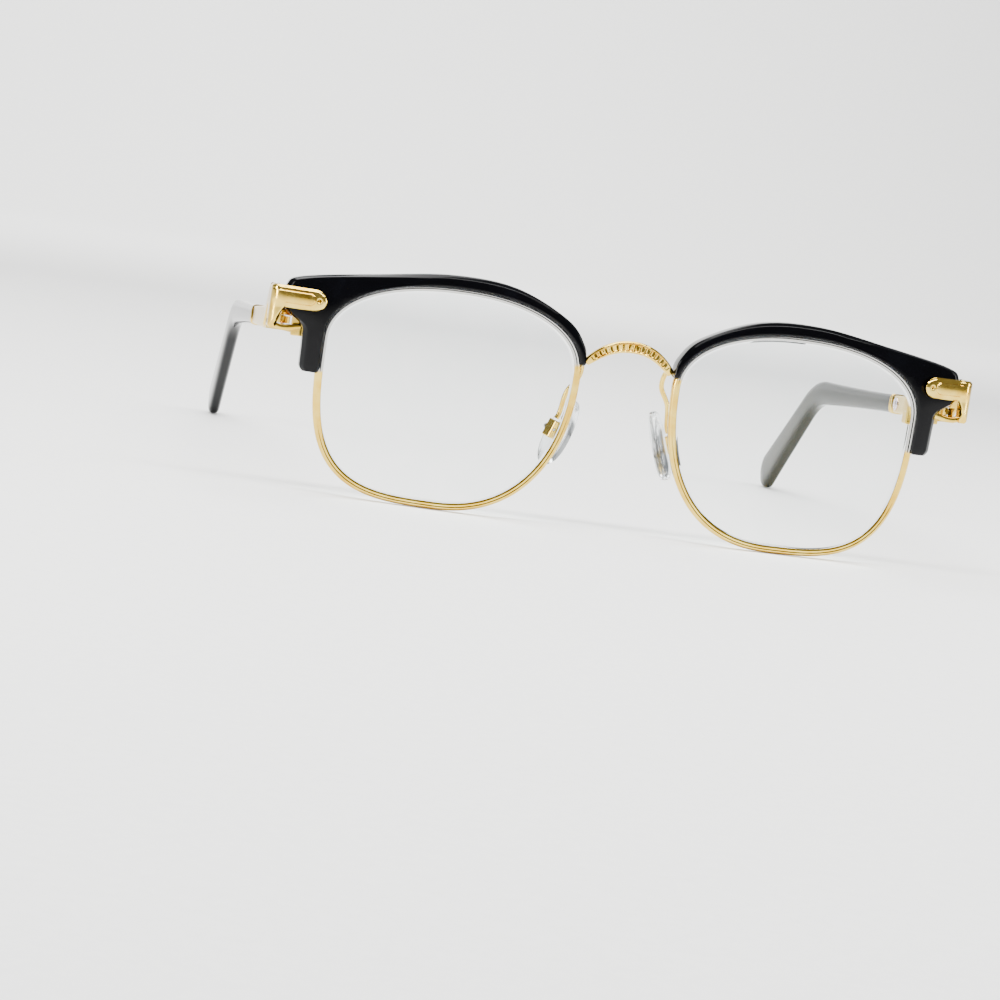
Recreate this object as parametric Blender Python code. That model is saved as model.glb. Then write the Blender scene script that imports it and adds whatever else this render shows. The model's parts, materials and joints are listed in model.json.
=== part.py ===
"""Browline eyeglasses, modelled as the pieces that come apart on an optician's bench.

Metres, +Z up.  The front faces -Y, the open temples run to +Y, and the glasses stand on the
bottoms of the two eyewires and the ends of the two temple tips.  Left and right are the
wearer's, so the left side is at +X.

Every size that can be chosen by itself is named once below, and the rest is worked out from it.
The front is laid out on one curved surface, front_y, which carries the lens curve, the face
wrap and the forward tilt, so rims, lenses, brows and bridge stay together when a size changes.
"""
import math

import bpy
import bmesh
from mathutils import Matrix, Vector

MM = 0.001
LEFT, RIGHT = 1, -1
SIDES = (("left", LEFT), ("right", RIGHT))

# ---------------------------------------------------------------- driving sizes
LENS_WIDTH = 51.4 * MM            # boxed width of one eyewire, outside
LENS_HEIGHT = 44.2 * MM           # boxed height of one eyewire, outside
BRIDGE_GAP = 18.4 * MM            # between the two eyewires at their nearest
END_REACH = 10.4 * MM             # outer face of an endpiece beyond its eyewire
TEMPLE_STRAIGHT = 93.0 * MM       # hinge axis to the start of the ear bend
EAR_BEND = math.radians(30.0)     # how far the tip turns down behind the ear
EAR_RADIUS = 30.0 * MM
TEMPLE_DROP = math.radians(3.0)   # slope of the straight temple below level

LENS_RADIUS = 130.0 * MM          # front curve of the lens and of the whole front
WRAP = math.tan(math.radians(4.0))    # each half turns back this much towards the temples
TILT = math.tan(math.radians(5.0))    # the top of the front leans this much forward

GAP = 0.3 * MM                    # clearance between pieces that touch on the real object
RIM_THICK = 1.5 * MM              # eyewire, across the lens plane
RIM_DEPTH = 1.8 * MM              # eyewire, front to back
GROOVE_DEPTH = 0.8 * MM
GROOVE_HALF = 0.72 * MM
LENS_THICK = 1.4 * MM
RIM_POLE = 0.684                  # height of the widest level, as a share of LENS_HEIGHT
RIM_SKEW = 0.490                  # nasal share of the width, from the crown of the rim
RIM_POWERS = {"brow_out": 2.2, "brow_in": 2.2, "low_in": 2.3, "low_out": 3.2}

BROW_LIP = 0.8 * MM               # how far the brow's front lip comes down over the eyewire
BROW_RISE = 2.0 * MM              # brow above the eyewire at its crown
BROW_NOSE_RISE = 0.55 * MM        # brow beyond the eyewire at its nasal end
BROW_FRONT = 1.7 * MM             # front face of the brow, ahead of the eyewire's front
BROW_BACK = 0.4 * MM              # back face of the brow, behind the eyewire's back
BROW_CORNER = Vector((7.9 * MM, 11.0 * MM))   # corner beyond the rim's widest point, above its pole
BROW_LEG_WIDTH = 3.4 * MM         # brow's leg outside the eyewire
BROW_LEG_DROP = 6.7 * MM          # end of the leg below the pole

SHIELD_LENGTH = 8.0 * MM          # flat front plate, nose to the brow's corner
SHIELD_HEIGHT = 4.2 * MM
SHIELD_THICK = 0.9 * MM
SHIELD_ABOVE_POLE = 7.2 * MM      # centre line of the plate above the rim's pole
SHIELD_FLANGE = 2.9 * MM          # how far the plate wraps back along the brow's end

BRIDGE_RISE = 4.2 * MM            # arch above its ends
BRIDGE_ABOVE_POLE = 2.7 * MM      # arch ends above the rim's pole
BRIDGE_HEIGHT = 2.5 * MM          # section at the middle
BRIDGE_END_HEIGHT = 1.9 * MM
BRIDGE_DEPTH = 1.9 * MM
BRIDGE_FORWARD = 1.6 * MM         # bulge towards the front

HINGE_BEHIND = 6.28 * MM          # hinge axis behind the front's surface at the brow's corner
HINGE_ABOVE_POLE = 2.2 * MM
BAR_HEIGHT = 4.4 * MM
BAR_END_HEIGHT = 3.6 * MM
BAR_THICK = 2.6 * MM
BAR_INSET = 0.6 * MM              # inner face of the bar outside the hinge axis
BAR_START = 3.2 * MM              # front end of the bar behind the hinge axis
BAR_LENGTH = 31.7 * MM
BAR_RELIEF = 0.8 * MM             # chamfer on the bar's outer front edge
KNUCKLE_RADIUS = 1.6 * MM
KNUCKLE_HOLE = 0.8 * MM
KNUCKLE_MIDDLE = 1.4 * MM         # height of the tongue's knuckle
KNUCKLE_OUTER = 1.1 * MM          # height of each of the endpiece's knuckles
PIN_RADIUS = 0.55 * MM
ENDPIECE_THICK = 1.7 * MM

SLOT_LENGTH = 11.0 * MM           # open slot of the spring box, from the bar's front end
SLOT_HEIGHT = 2.6 * MM
TONGUE_HEIGHT = 1.9 * MM
TONGUE_THICK = 0.8 * MM
TONGUE_CENTRE = 1.9 * MM          # tongue and bore, outside the hinge axis
ROD_RADIUS = 0.4 * MM
WEB = 1.5 * MM                    # wall between slot and spring bore
BORE_RADIUS = 0.95 * MM
BORE_LENGTH = 11.5 * MM
SPRING_WIRE = 0.13 * MM
SPRING_TURNS = 5
SPRING_TRAVEL = 1.2 * MM
NUT_LENGTH = 1.4 * MM

FERRULE_LENGTH = 2.0 * MM
FERRULE_PROUD = 0.25 * MM
TIP_THICK = 3.0 * MM
TIP_HEIGHT = 4.0 * MM
PADDLE_RADIUS = 4.4 * MM
CORE_THICK = 0.9 * MM
CORE_HEIGHT = 1.5 * MM
CORE_PAST_BEND = 14.0 * MM
STUD_RADIUS = 1.4 * MM
STUD_PROUD = 0.35 * MM

PAD_LENGTH = 14.0 * MM
PAD_WIDTH = 7.4 * MM
PAD_THICK = 2.4 * MM
PAD_SPREAD = 10.4 * MM            # centre line to the middle of a pad
PAD_BACK = 8.4 * MM               # middle of a pad behind the middle of the lens
PAD_HEIGHT = 18.0 * MM            # above the bottom of the eyewires
PAD_FLARE = math.radians(20.0)    # pads stand wider at the bottom
PAD_SPLAY = math.radians(24.0)    # and wider at the back
PAD_BOX = Vector((2.6 * MM, 3.6 * MM, 1.2 * MM))
PAD_SCREW_RADIUS = 0.35 * MM
WIRE_RADIUS = 0.5 * MM

BLOCK = Vector((2.0 * MM, 3.1 * MM, 5.0 * MM))
BLOCK_ABOVE_POLE = 1.5 * MM
SCREW_RADIUS = 0.4 * MM
BROW_SCREW_RADIUS = 0.35 * MM
SCREW_HEAD_RADIUS = 0.8 * MM
SCREW_HEAD = 0.45 * MM

# ---------------------------------------------------------------- sizes that follow
RIM_NASAL = BRIDGE_GAP / 2
RIM_TEMPORAL = RIM_NASAL + LENS_WIDTH
FRONT_HALF_WIDTH = RIM_TEMPORAL + END_REACH
LENS_X = RIM_NASAL + LENS_WIDTH / 2
LENS_Z = LENS_HEIGHT / 2
CROWN_X = RIM_NASAL + RIM_SKEW * LENS_WIDTH
POLE_Z = RIM_POLE * LENS_HEIGHT
HINGE_X = FRONT_HALF_WIDTH - 0.3 * MM - BAR_INSET - BAR_THICK
HINGE_Z = POLE_Z + HINGE_ABOVE_POLE
BAR_CENTRE = BAR_INSET + BAR_THICK / 2
BAR_END = BAR_START + BAR_LENGTH
TIP_START = BAR_END + GAP + FERRULE_LENGTH + GAP
BEND_DROP = EAR_RADIUS * (math.cos(TEMPLE_DROP) - math.cos(TEMPLE_DROP + EAR_BEND))
BEND_Z = HINGE_Z - TEMPLE_STRAIGHT * math.sin(TEMPLE_DROP) - BEND_DROP
PADDLE_RUN = (BEND_Z - PADDLE_RADIUS) / math.sin(TEMPLE_DROP + EAR_BEND)


# ---------------------------------------------------------------- helpers
def clear_scene():
    for obj in list(bpy.data.objects):
        bpy.data.objects.remove(obj, do_unlink=True)
    for group in list(bpy.data.collections):
        bpy.data.collections.remove(group)


def principled(name, colour, roughness, metallic=0.0, transmission=0.0):
    mat = bpy.data.materials.new(name)
    mat.use_nodes = True
    shader = mat.node_tree.nodes["Principled BSDF"]
    shader.inputs["Base Color"].default_value = (*colour, 1.0)
    shader.inputs["Roughness"].default_value = roughness
    shader.inputs["Metallic"].default_value = metallic
    shader.inputs["Transmission Weight"].default_value = transmission
    return mat


def mesh_object(name, mesh, mat, group):
    obj = bpy.data.objects.new(name, mesh)
    group.objects.link(obj)
    if mat:
        mesh.materials.append(mat)
    mesh.shade_smooth()
    mesh.set_sharp_from_angle(angle=math.radians(35))
    return obj


def from_bmesh(name, bm, mat, group):
    bmesh.ops.recalc_face_normals(bm, faces=bm.faces)
    mesh = bpy.data.meshes.new(name)
    bm.to_mesh(mesh)
    bm.free()
    return mesh_object(name, mesh, mat, group)


def loft(name, rings, mat, group, closed=False):
    """Skin a list of rings with the same number of points: a loft between unlike sections.

    The ends are capped with one face each, unless closed joins the last ring to the first.
    """
    bm = bmesh.new()
    rows = [[bm.verts.new(p) for p in ring] for ring in rings]
    count = len(rows[0])
    last = len(rows) if closed else len(rows) - 1
    for i in range(last):
        here, there = rows[i], rows[(i + 1) % len(rows)]
        for k in range(count):
            bm.faces.new((here[k], here[(k + 1) % count], there[(k + 1) % count], there[k]))
    if not closed:
        bm.faces.new(rows[0][::-1])
        bm.faces.new(rows[-1])
    return from_bmesh(name, bm, mat, group)


def cylinder(name, start, end, radius, mat, group, segments=16, radius_end=None):
    """A round bar between two points."""
    bm = bmesh.new()
    run = Vector(end) - Vector(start)
    turn = run.to_track_quat("Z", "Y").to_matrix().to_4x4()
    place = Matrix.Translation((Vector(start) + Vector(end)) / 2) @ turn
    far = radius if radius_end is None else radius_end
    bmesh.ops.create_cone(bm, cap_ends=True, segments=segments, radius1=radius, radius2=far,
                          depth=run.length, matrix=place)
    return from_bmesh(name, bm, mat, group)


def box(name, centre, size, mat, group, frame=None, bevel=0.0):
    """A block with its edges rounded; frame turns it about its centre."""
    bm = bmesh.new()
    turn = (frame or Matrix.Identity(3)).to_4x4()
    place = Matrix.Translation(Vector(centre)) @ turn @ Matrix.Diagonal((*size, 1.0))
    bmesh.ops.create_cube(bm, size=1.0, matrix=place)
    if bevel:
        bmesh.ops.bevel(bm, geom=list(bm.edges), offset=bevel, segments=2, profile=0.5,
                        affect="EDGES", clamp_overlap=True)
    return from_bmesh(name, bm, mat, group)


def tube(name, points, radius, mat, group, resolution=2):
    """A round wire through points: a poly curve with a bevel, kept as a welded mesh."""
    curve = bpy.data.curves.new(name + "_path", "CURVE")
    curve.dimensions = "3D"
    spline = curve.splines.new("POLY")
    spline.points.add(len(points) - 1)
    for slot, p in zip(spline.points, points):
        slot.co = (*p, 1.0)
    curve.bevel_depth = radius
    curve.bevel_resolution = resolution
    curve.use_fill_caps = True
    guide = bpy.data.objects.new(name + "_guide", curve)
    group.objects.link(guide)
    depsgraph = bpy.context.evaluated_depsgraph_get()
    mesh = bpy.data.meshes.new_from_object(guide.evaluated_get(depsgraph))
    bpy.data.objects.remove(guide, do_unlink=True)
    bm = bmesh.new()
    bm.from_mesh(mesh)
    bmesh.ops.remove_doubles(bm, verts=bm.verts, dist=0.00001)
    bpy.data.meshes.remove(mesh)
    return from_bmesh(name, bm, mat, group)


def boolean(target, other, operation, cutters):
    """Join or cut, with the exact solver.  The other solid goes in the cutters' collection."""
    mod = target.modifiers.new(operation.lower() + "_" + other.name, "BOOLEAN")
    mod.operation = operation
    mod.solver = "EXACT"
    mod.object = other
    for group in list(other.users_collection):
        group.objects.unlink(other)
    cutters.objects.link(other)
    other.hide_render = True
    other.display_type = "WIRE"
    return target


def spline_points(controls, per_span):
    """A smooth curve through control points (Catmull-Rom), with per_span steps between two."""
    pts = [2 * controls[0] - controls[1], *controls, 2 * controls[-1] - controls[-2]]
    out = []
    for i in range(1, len(pts) - 2):
        a, b, c, d = pts[i - 1:i + 3]
        for k in range(per_span):
            t = k / per_span
            out.append(0.5 * (2 * b + (c - a) * t + (2 * a - 5 * b + 4 * c - d) * t * t
                              + (3 * b - a - 3 * c + d) * t ** 3))
    out.append(controls[-1].copy())
    return out


# ---------------------------------------------------------------- the front's surface and outlines
def front_y(x, z):
    """Depth of the middle of the eyewire: lens curve, wrap towards the temples, forward tilt."""
    across = abs(x) - LENS_X
    up = z - LENS_Z
    return (across ** 2 + up ** 2) / (2 * LENS_RADIUS) + WRAP * across - TILT * up


HINGE_BACK = HINGE_BEHIND + front_y(RIM_TEMPORAL + BROW_CORNER.x, POLE_Z + SHIELD_ABOVE_POLE)


def front_normal(p):
    """Backward normal of the front's surface at a point (x, z) of the left half's plan."""
    across = (p.x - LENS_X) / LENS_RADIUS + WRAP
    up = (p.y - LENS_Z) / LENS_RADIUS - TILT
    return Vector((-across, 1.0, -up)).normalized()


def on_front(p, depth):
    """A point of the front's plan (x, z) at a depth behind the eyewire's middle."""
    return Vector((p.x, front_y(p.x, p.y) + depth, p.y))


def rim_point(angle):
    """Outer edge of the left eyewire at an angle from its widest temporal point, over the crown.

    Four quarters of superellipses share their end points, so the line is smooth all round.
    """
    c, s = math.cos(angle), math.sin(angle)
    side = "out" if c >= 0 else "in"
    level = "brow_" if s >= 0 else "low_"
    power = RIM_POWERS[level + side]
    reach = (RIM_TEMPORAL - CROWN_X) if c >= 0 else (CROWN_X - RIM_NASAL)
    rise = (LENS_HEIGHT - POLE_Z) if s >= 0 else POLE_Z
    scale = (abs(c) ** power + abs(s) ** power) ** (-1 / power)
    return Vector((CROWN_X + reach * c * scale, POLE_Z + rise * s * scale))


def rim_normal(angle):
    """Outward direction of the eyewire's outer edge, in the front's plan."""
    step = 0.002
    run = rim_point(angle + step) - rim_point(angle - step)
    return Vector((run.y, -run.x)).normalized()


def rim_offset(angle, distance):
    return rim_point(angle) + rim_normal(angle) * distance


def even_angles(start, end, count):
    """Angles at which the eyewire's outline has even spacing."""
    fine = 720
    angles = [start + (end - start) * k / fine for k in range(fine + 1)]
    points = [rim_point(a) for a in angles]
    lengths = [0.0]
    for a, b in zip(points, points[1:]):
        lengths.append(lengths[-1] + (b - a).length)
    out, j = [], 0
    for k in range(count):
        want = lengths[-1] * k / (count - 1)
        while lengths[j + 1] < want and j < fine - 1:
            j += 1
        share = (want - lengths[j]) / (lengths[j + 1] - lengths[j])
        out.append(angles[j] + (angles[j + 1] - angles[j]) * min(1.0, share))
    return out


def mirrored(ring, side):
    return [Vector((side * p.x, p.y, p.z)) for p in ring]


# ---------------------------------------------------------------- eyewire and lens
RIM_STATIONS = 58


def make_eyewire(name, side, mat, group):
    """A gold wire all round the lens, with a V groove in its inner face."""
    half = RIM_DEPTH / 2
    edge = 0.3 * MM
    section = [(-edge, -half), (-RIM_THICK + edge, -half), (-RIM_THICK, -half + edge),
               (-RIM_THICK, -GROOVE_HALF), (-RIM_THICK + GROOVE_DEPTH, 0.0),
               (-RIM_THICK, GROOVE_HALF), (-RIM_THICK, half - edge), (-RIM_THICK + edge, half),
               (-edge, half), (0.0, half - edge), (0.0, -half + edge)]
    rings = []
    for angle in even_angles(0.0, 2 * math.pi, RIM_STATIONS + 1)[:-1]:
        rings.append([on_front(rim_offset(angle, out), deep) for out, deep in section])
    return loft(name, [mirrored(r, side) for r in rings], mat, group, closed=True)


def make_lens(name, side, mat, group):
    """A curved lens with a bevelled edge that stands in the eyewire's groove."""
    half = LENS_THICK / 2
    tip = -(RIM_THICK - GROOVE_DEPTH + GAP)
    face = -(RIM_THICK + GAP)
    angles = even_angles(0.0, 2 * math.pi, RIM_STATIONS + 1)[:-1]
    shares = (0.0, 0.35, 0.7, 1.0)
    bm = bmesh.new()
    centre = Vector((LENS_X, LENS_Z))

    def ring(out, share, depth):
        row = []
        for angle in angles:
            p = centre.lerp(rim_offset(angle, out), share)
            row.append(bm.verts.new(mirrored([on_front(p, depth)], side)[0]))
        return row

    front = [ring(face, s, -half) for s in shares[1:]]
    edge = ring(tip, 1.0, 0.0)
    back = [ring(face, s, half) for s in shares[:0:-1]]
    rows = [*front, edge, *back]
    count = len(angles)
    for here, there in zip(rows, rows[1:]):
        for k in range(count):
            bm.faces.new((here[k], here[(k + 1) % count], there[(k + 1) % count], there[k]))
    for row, depth in ((rows[0], -half), (rows[-1], half)):
        hub = bm.verts.new(mirrored([on_front(centre, depth)], side)[0])
        for k in range(count):
            bm.faces.new((row[k], row[(k + 1) % count], hub))
    return from_bmesh(name, bm, mat, group)


# ---------------------------------------------------------------- brow
BROW_START = math.radians(172.0)     # nasal end, measured on the eyewire's angle
BROW_END = math.radians(-12.5)       # end of the leg


def brow_edges(inner_out):
    """Inner and outer edge of the left brow, nasal end to leg, as matching points of the plan."""
    pole = Vector((RIM_TEMPORAL, POLE_Z))
    corner = pole + BROW_CORNER
    leg = RIM_TEMPORAL + BROW_LEG_WIDTH
    anchors = [
        (BROW_START, rim_offset(BROW_START, BROW_NOSE_RISE)),
        (math.radians(158.0), rim_offset(math.radians(158.0), BROW_RISE * 0.6)),
        (math.radians(140.0), rim_offset(math.radians(140.0), BROW_RISE * 0.75)),
        (math.radians(112.0), rim_offset(math.radians(112.0), BROW_RISE)),
        (math.radians(85.0), rim_offset(math.radians(85.0), BROW_RISE)),
        (math.radians(62.0), Vector((corner.x - 17.0 * MM, corner.y + 2.9 * MM))),
        (math.radians(38.0), Vector((corner.x - 3.4 * MM, corner.y + 0.5 * MM))),
        (math.radians(28.0), Vector((corner.x - 0.35 * MM, corner.y - 1.6 * MM))),
        (math.radians(17.0), Vector((corner.x - 0.5 * MM, corner.y - 6.0 * MM))),
        (math.radians(9.0), Vector((leg + 0.5 * MM, corner.y - 8.8 * MM))),
        (math.radians(2.0), Vector((leg, POLE_Z - 0.2 * MM))),
        (BROW_END, Vector((leg - 0.2 * MM, POLE_Z - BROW_LEG_DROP))),
    ]
    per_span = 4
    outer = spline_points([p for _, p in anchors], per_span)
    inner = []
    for (a, _), (b, _) in zip(anchors, anchors[1:]):
        inner += [rim_offset(a + (b - a) * k / per_span, inner_out) for k in range(per_span)]
    inner.append(rim_offset(BROW_END, inner_out))
    inner[-1] = Vector((inner[-1].x, POLE_Z - BROW_LEG_DROP))
    return inner, outer


def make_brow(name, side, mat, group, cutters):
    """Black acetate bar over the eyewire: a front lip hangs over it, the body sits on top of it."""
    front = -(RIM_DEPTH / 2 + BROW_FRONT)
    shelf = -(RIM_DEPTH / 2 + GAP)
    back = RIM_DEPTH / 2 + BROW_BACK
    lip, outer = brow_edges(-BROW_LIP)
    seat, _ = brow_edges(GAP)
    rings = []
    for low, sit, top in zip(lip, seat, outer):
        out = (top - low).normalized()
        wide = (top - sit).length
        r = min(0.7 * MM, wide * 0.4)
        section = [(low + out * 0.15 * MM, shelf), (low, front + 0.7 * MM),
                   (low + out * 0.25 * MM, front + 0.2 * MM),
                   (low + out * 0.8 * MM, front), (top - out * r, front),
                   (top - out * 0.3 * r, front + 0.3 * r), (top, front + r), (top, back - r),
                   (top - out * 0.3 * r, back - 0.3 * r), (top - out * r, back), (sit, back),
                   (sit, shelf)]
        rings.append([on_front(p, d) for p, d in section])
    brow = loft(name, [mirrored(r, side) for r in rings], mat, group)
    for label, spot in brow_screw_spots().items():
        face = on_front(spot, back)
        inward = front_normal(spot)
        pair = mirrored([face + inward * GAP, face - inward * 2.4 * MM], side)
        hole = cylinder(name + "_" + label + "_hole", *pair, BROW_SCREW_RADIUS + 0.2 * MM, None,
                        cutters, segments=12)
        boolean(brow, hole, "DIFFERENCE", cutters)
    return brow


def brow_screw_spots():
    """Where the two screws enter the back of the left brow, in the front's plan."""
    crown = math.radians(112.0)
    corner = Vector((RIM_TEMPORAL, POLE_Z)) + BROW_CORNER
    return {
        "nasal": rim_offset(crown, (BROW_RISE + GAP) / 2 + 0.05 * MM),
        "temporal": Vector((corner.x - 5.0 * MM, corner.y - 3.4 * MM)),
    }


def make_brow_screw(name, side, spot, mat, group, cutters):
    """A small screw that enters the brow from behind, square to its back."""
    outward = front_normal(spot)
    face = on_front(spot, RIM_DEPTH / 2 + BROW_BACK) + outward * 0.15 * MM
    points = mirrored([face - outward * 2.0 * MM, face, face + outward * SCREW_HEAD,
                       face + outward * 0.1 * MM], side)
    screw = cylinder(name, points[0], points[3], BROW_SCREW_RADIUS, mat, group, segments=10)
    head = cylinder(name + "_head", points[1], points[2], SCREW_HEAD_RADIUS, None, cutters)
    return boolean(screw, head, "UNION", cutters)


# ---------------------------------------------------------------- bridge
def make_bridge(name, mat, group):
    """A gold arch between the two eyewires, taller in the middle, bulging forward."""
    steps = 24
    end_x = RIM_NASAL - BROW_NOSE_RISE - 2 * GAP
    end_z = POLE_Z + BRIDGE_ABOVE_POLE
    end_y = front_y(RIM_NASAL, end_z)
    rings = []
    for k in range(steps + 1):
        t = -1 + 2 * k / steps
        arch = 1 - abs(t) ** 2.2
        p = Vector((end_x * t, end_y - BRIDGE_FORWARD * arch, end_z + BRIDGE_RISE * arch))
        slope = -2.2 * BRIDGE_RISE * abs(t) ** 1.2 * math.copysign(1, t) / end_x
        up = Vector((-slope, 0, 1)).normalized()
        tall = BRIDGE_END_HEIGHT + (BRIDGE_HEIGHT - BRIDGE_END_HEIGHT) * arch
        half_y, half_z = BRIDGE_DEPTH / 2, tall / 2
        cut = 0.35 * MM
        shape = [(-half_y, -half_z + cut), (-half_y, half_z - cut), (-half_y + cut, half_z),
                 (half_y - cut, half_z), (half_y, half_z - cut), (half_y, -half_z + cut),
                 (half_y - cut, -half_z), (-half_y + cut, -half_z)]
        rings.append([p + Vector((0, y, 0)) + up * z for y, z in shape])
    return loft(name, rings, mat, group)


# ---------------------------------------------------------------- endpiece, shield and closing block
def shield_z():
    return POLE_Z + SHIELD_ABOVE_POLE


def make_shield(name, side, mat, group):
    """Round-nosed plate on the brow's corner, wrapped back round its end."""
    nose_x = FRONT_HALF_WIDTH - SHIELD_LENGTH - 2.6 * MM
    front = -(RIM_DEPTH / 2 + BROW_FRONT + GAP)
    half = SHIELD_HEIGHT / 2
    nose = 7
    wall = 1.4 * MM
    outer_x = FRONT_HALF_WIDTH
    bend = 1.3 * MM
    path = []
    for k in range(nose):
        a = math.pi / 2 * (k + 0.6) / nose
        path.append((nose_x + half * 1.15 * (1 - math.cos(a)), math.sin(a)))
    flat_end = outer_x - bend - wall
    for k in range(1, 4):
        path.append((path[nose - 1][0] + (flat_end - path[nose - 1][0]) * k / 3, 1.0))
    rings = []
    for x, share in path:
        y = front_y(x, shield_z()) + front
        tall = half * share
        chamfer = min(0.35 * MM, tall * 0.4)
        rings.append([Vector((x, y - dy, shield_z() + dz)) for dy, dz in (
            (0, -tall), (0, tall), (SHIELD_THICK - chamfer, tall), (SHIELD_THICK, tall - chamfer),
            (SHIELD_THICK, -tall + chamfer), (SHIELD_THICK - chamfer, -tall))])
    y0 = front_y(flat_end, shield_z()) + front
    hub = Vector((flat_end, y0 + bend, shield_z()))
    turns = 6
    for k in range(1, turns + 1):
        a = math.pi / 2 * k / turns
        inner = bend
        outer = bend + SHIELD_THICK + (wall - SHIELD_THICK) * k / turns
        direction = Vector((math.sin(a), -math.cos(a), 0))
        rings.append([hub + direction * (inner + (outer - inner) * d) + Vector((0, 0, dz))
                      for d, dz in ((0, -half), (0, half), (0.6, half), (1, half - 0.35 * MM),
                                    (1, -half + 0.35 * MM), (0.6, -half))])
    back = [p + Vector((0, SHIELD_FLANGE, 0)) for p in rings[-1]]
    rings.append(back)
    return loft(name, [mirrored(r, side) for r in rings], mat, group), back[0].y


def make_endpiece(name, side, shield_back, mat, group, cutters):
    """Side strip behind the shield, the arm to the closing block, and two hinge knuckles."""
    start_y = shield_back + GAP
    end_y = HINGE_BACK + BAR_START - 0.7 * MM
    half = SHIELD_HEIGHT / 2
    outer = FRONT_HALF_WIDTH
    steps = 6
    rings = []
    for k in range(steps + 1):
        t = k / steps
        y = start_y + (end_y - start_y) * t
        ease = t * t * (3 - 2 * t)
        z = shield_z() + (HINGE_Z - shield_z()) * ease
        cut = 0.3 * MM
        rings.append([Vector((x, y, z + dz)) for x, dz in (
            (outer - ENDPIECE_THICK, -half), (outer - ENDPIECE_THICK, half),
            (outer - cut, half), (outer, half - cut), (outer, -half + cut), (outer - cut, -half))])
    piece = loft(name, [mirrored(r, side) for r in rings], mat, group)
    mid = KNUCKLE_MIDDLE / 2 + GAP
    for label, low in (("upper", mid), ("lower", -mid - KNUCKLE_OUTER)):
        centre_z = HINGE_Z + low + KNUCKLE_OUTER / 2
        axis = Vector((side * HINGE_X, HINGE_BACK, 0))
        up = Vector((0, 0, KNUCKLE_OUTER / 2))
        here = axis + Vector((0, 0, centre_z))
        barrel = cylinder(name + "_knuckle_" + label, here - up, here + up, KNUCKLE_RADIUS, None,
                          cutters, segments=20)
        boolean(piece, barrel, "UNION", cutters)
        reach = outer - HINGE_X - 0.4 * MM
        web = box(name + "_web_" + label,
                  (side * (HINGE_X + reach / 2), HINGE_BACK - 0.2 * MM, centre_z),
                  (reach, KNUCKLE_RADIUS * 1.5, KNUCKLE_OUTER * 0.98), None, cutters)
        boolean(piece, web, "UNION", cutters)
    arm_thick = 1.3 * MM
    arm_start = block_x() + BLOCK.x / 2 + GAP
    arm_end = HINGE_X - 1.5 * MM
    arm_y = block_back() - arm_thick / 2
    mid_z = HINGE_Z - 0.4 * MM
    arm = box(name + "_arm", (side * (arm_start + arm_end) / 2, arm_y, mid_z),
              (arm_end - arm_start, arm_thick, BLOCK.z - 0.6 * MM), None, cutters, bevel=0.25 * MM)
    boolean(piece, arm, "UNION", cutters)
    for label, level in (("upper", mid), ("lower", -mid - KNUCKLE_OUTER)):
        z = HINGE_Z + level + KNUCKLE_OUTER / 2
        start = Vector((side * (arm_end - 0.7 * MM), arm_y, z))
        run = Vector((side * HINGE_X, HINGE_BACK, z)) - start
        run *= 1 - KNUCKLE_HOLE / run.length
        turn = Matrix.Rotation(math.atan2(run.y, run.x), 3, "Z")
        prong = box(name + "_prong_" + label, start + run / 2,
                    (run.length, arm_thick, KNUCKLE_OUTER * 0.96), None, cutters, turn)
        boolean(piece, prong, "UNION", cutters)
    notch_out = TONGUE_CENTRE + TONGUE_THICK / 2 + 0.55 * MM
    notch = box(name + "_notch",
                (side * (HINGE_X + (notch_out + 1.0 * MM) / 2), end_y - 1.5 * MM, HINGE_Z - 0.1 * MM),
                (notch_out - 1.0 * MM, 6.0 * MM, KNUCKLE_MIDDLE + 2 * GAP), None, cutters)
    boolean(piece, notch, "DIFFERENCE", cutters)
    hole = cylinder(name + "_pin_hole", (side * HINGE_X, HINGE_BACK, HINGE_Z - 5 * MM),
                    (side * HINGE_X, HINGE_BACK, HINGE_Z + 5 * MM), KNUCKLE_HOLE, None, cutters)
    boolean(piece, hole, "DIFFERENCE", cutters)
    return piece


def block_x():
    return RIM_TEMPORAL - RIM_THICK / 2 - 0.25 * MM


def block_back():
    """Rear face of the closing block, which stands clear of the brow's back."""
    middle = front_y(block_x(), POLE_Z + BLOCK_ABOVE_POLE)
    return middle + RIM_DEPTH / 2 + BROW_BACK + GAP + BLOCK.y


def make_closing_block(name, side, mat, group, cutters):
    """The split block behind the eyewire whose screw lets the lens in and out."""
    centre = Vector((side * block_x(), block_back() - BLOCK.y / 2, POLE_Z + BLOCK_ABOVE_POLE))
    block = box(name, centre, BLOCK, mat, group, bevel=0.3 * MM)
    split = box(name + "_split", centre + Vector((0, 0.9 * MM, 0)),
                (BLOCK.x * 2, BLOCK.y, 0.25 * MM), None, cutters)
    boolean(block, split, "DIFFERENCE", cutters)
    hole = cylinder(name + "_hole", centre - Vector((0, 0, 4 * MM)), centre + Vector((0, 0, 4 * MM)),
                    SCREW_RADIUS + 0.2 * MM, None, cutters, segments=12)
    return boolean(block, hole, "DIFFERENCE", cutters)


def make_upright_screw(name, side, x, y, top, length, radius, head_radius, mat, group, cutters):
    """A screw from above: a shaft with a slotted head."""
    low = Vector((side * x, y, top - length))
    high = Vector((side * x, y, top + SCREW_HEAD * 0.4))
    screw = cylinder(name, low, high, radius, mat, group, segments=12)
    head = cylinder(name + "_head", (side * x, y, top), (side * x, y, top + SCREW_HEAD),
                    head_radius, None, cutters)
    boolean(screw, head, "UNION", cutters)
    slot = box(name + "_slot", (side * x, y, top + SCREW_HEAD),
               (head_radius * 3, 0.25 * MM, 0.4 * MM), None, cutters)
    return boolean(screw, slot, "DIFFERENCE", cutters)


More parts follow.
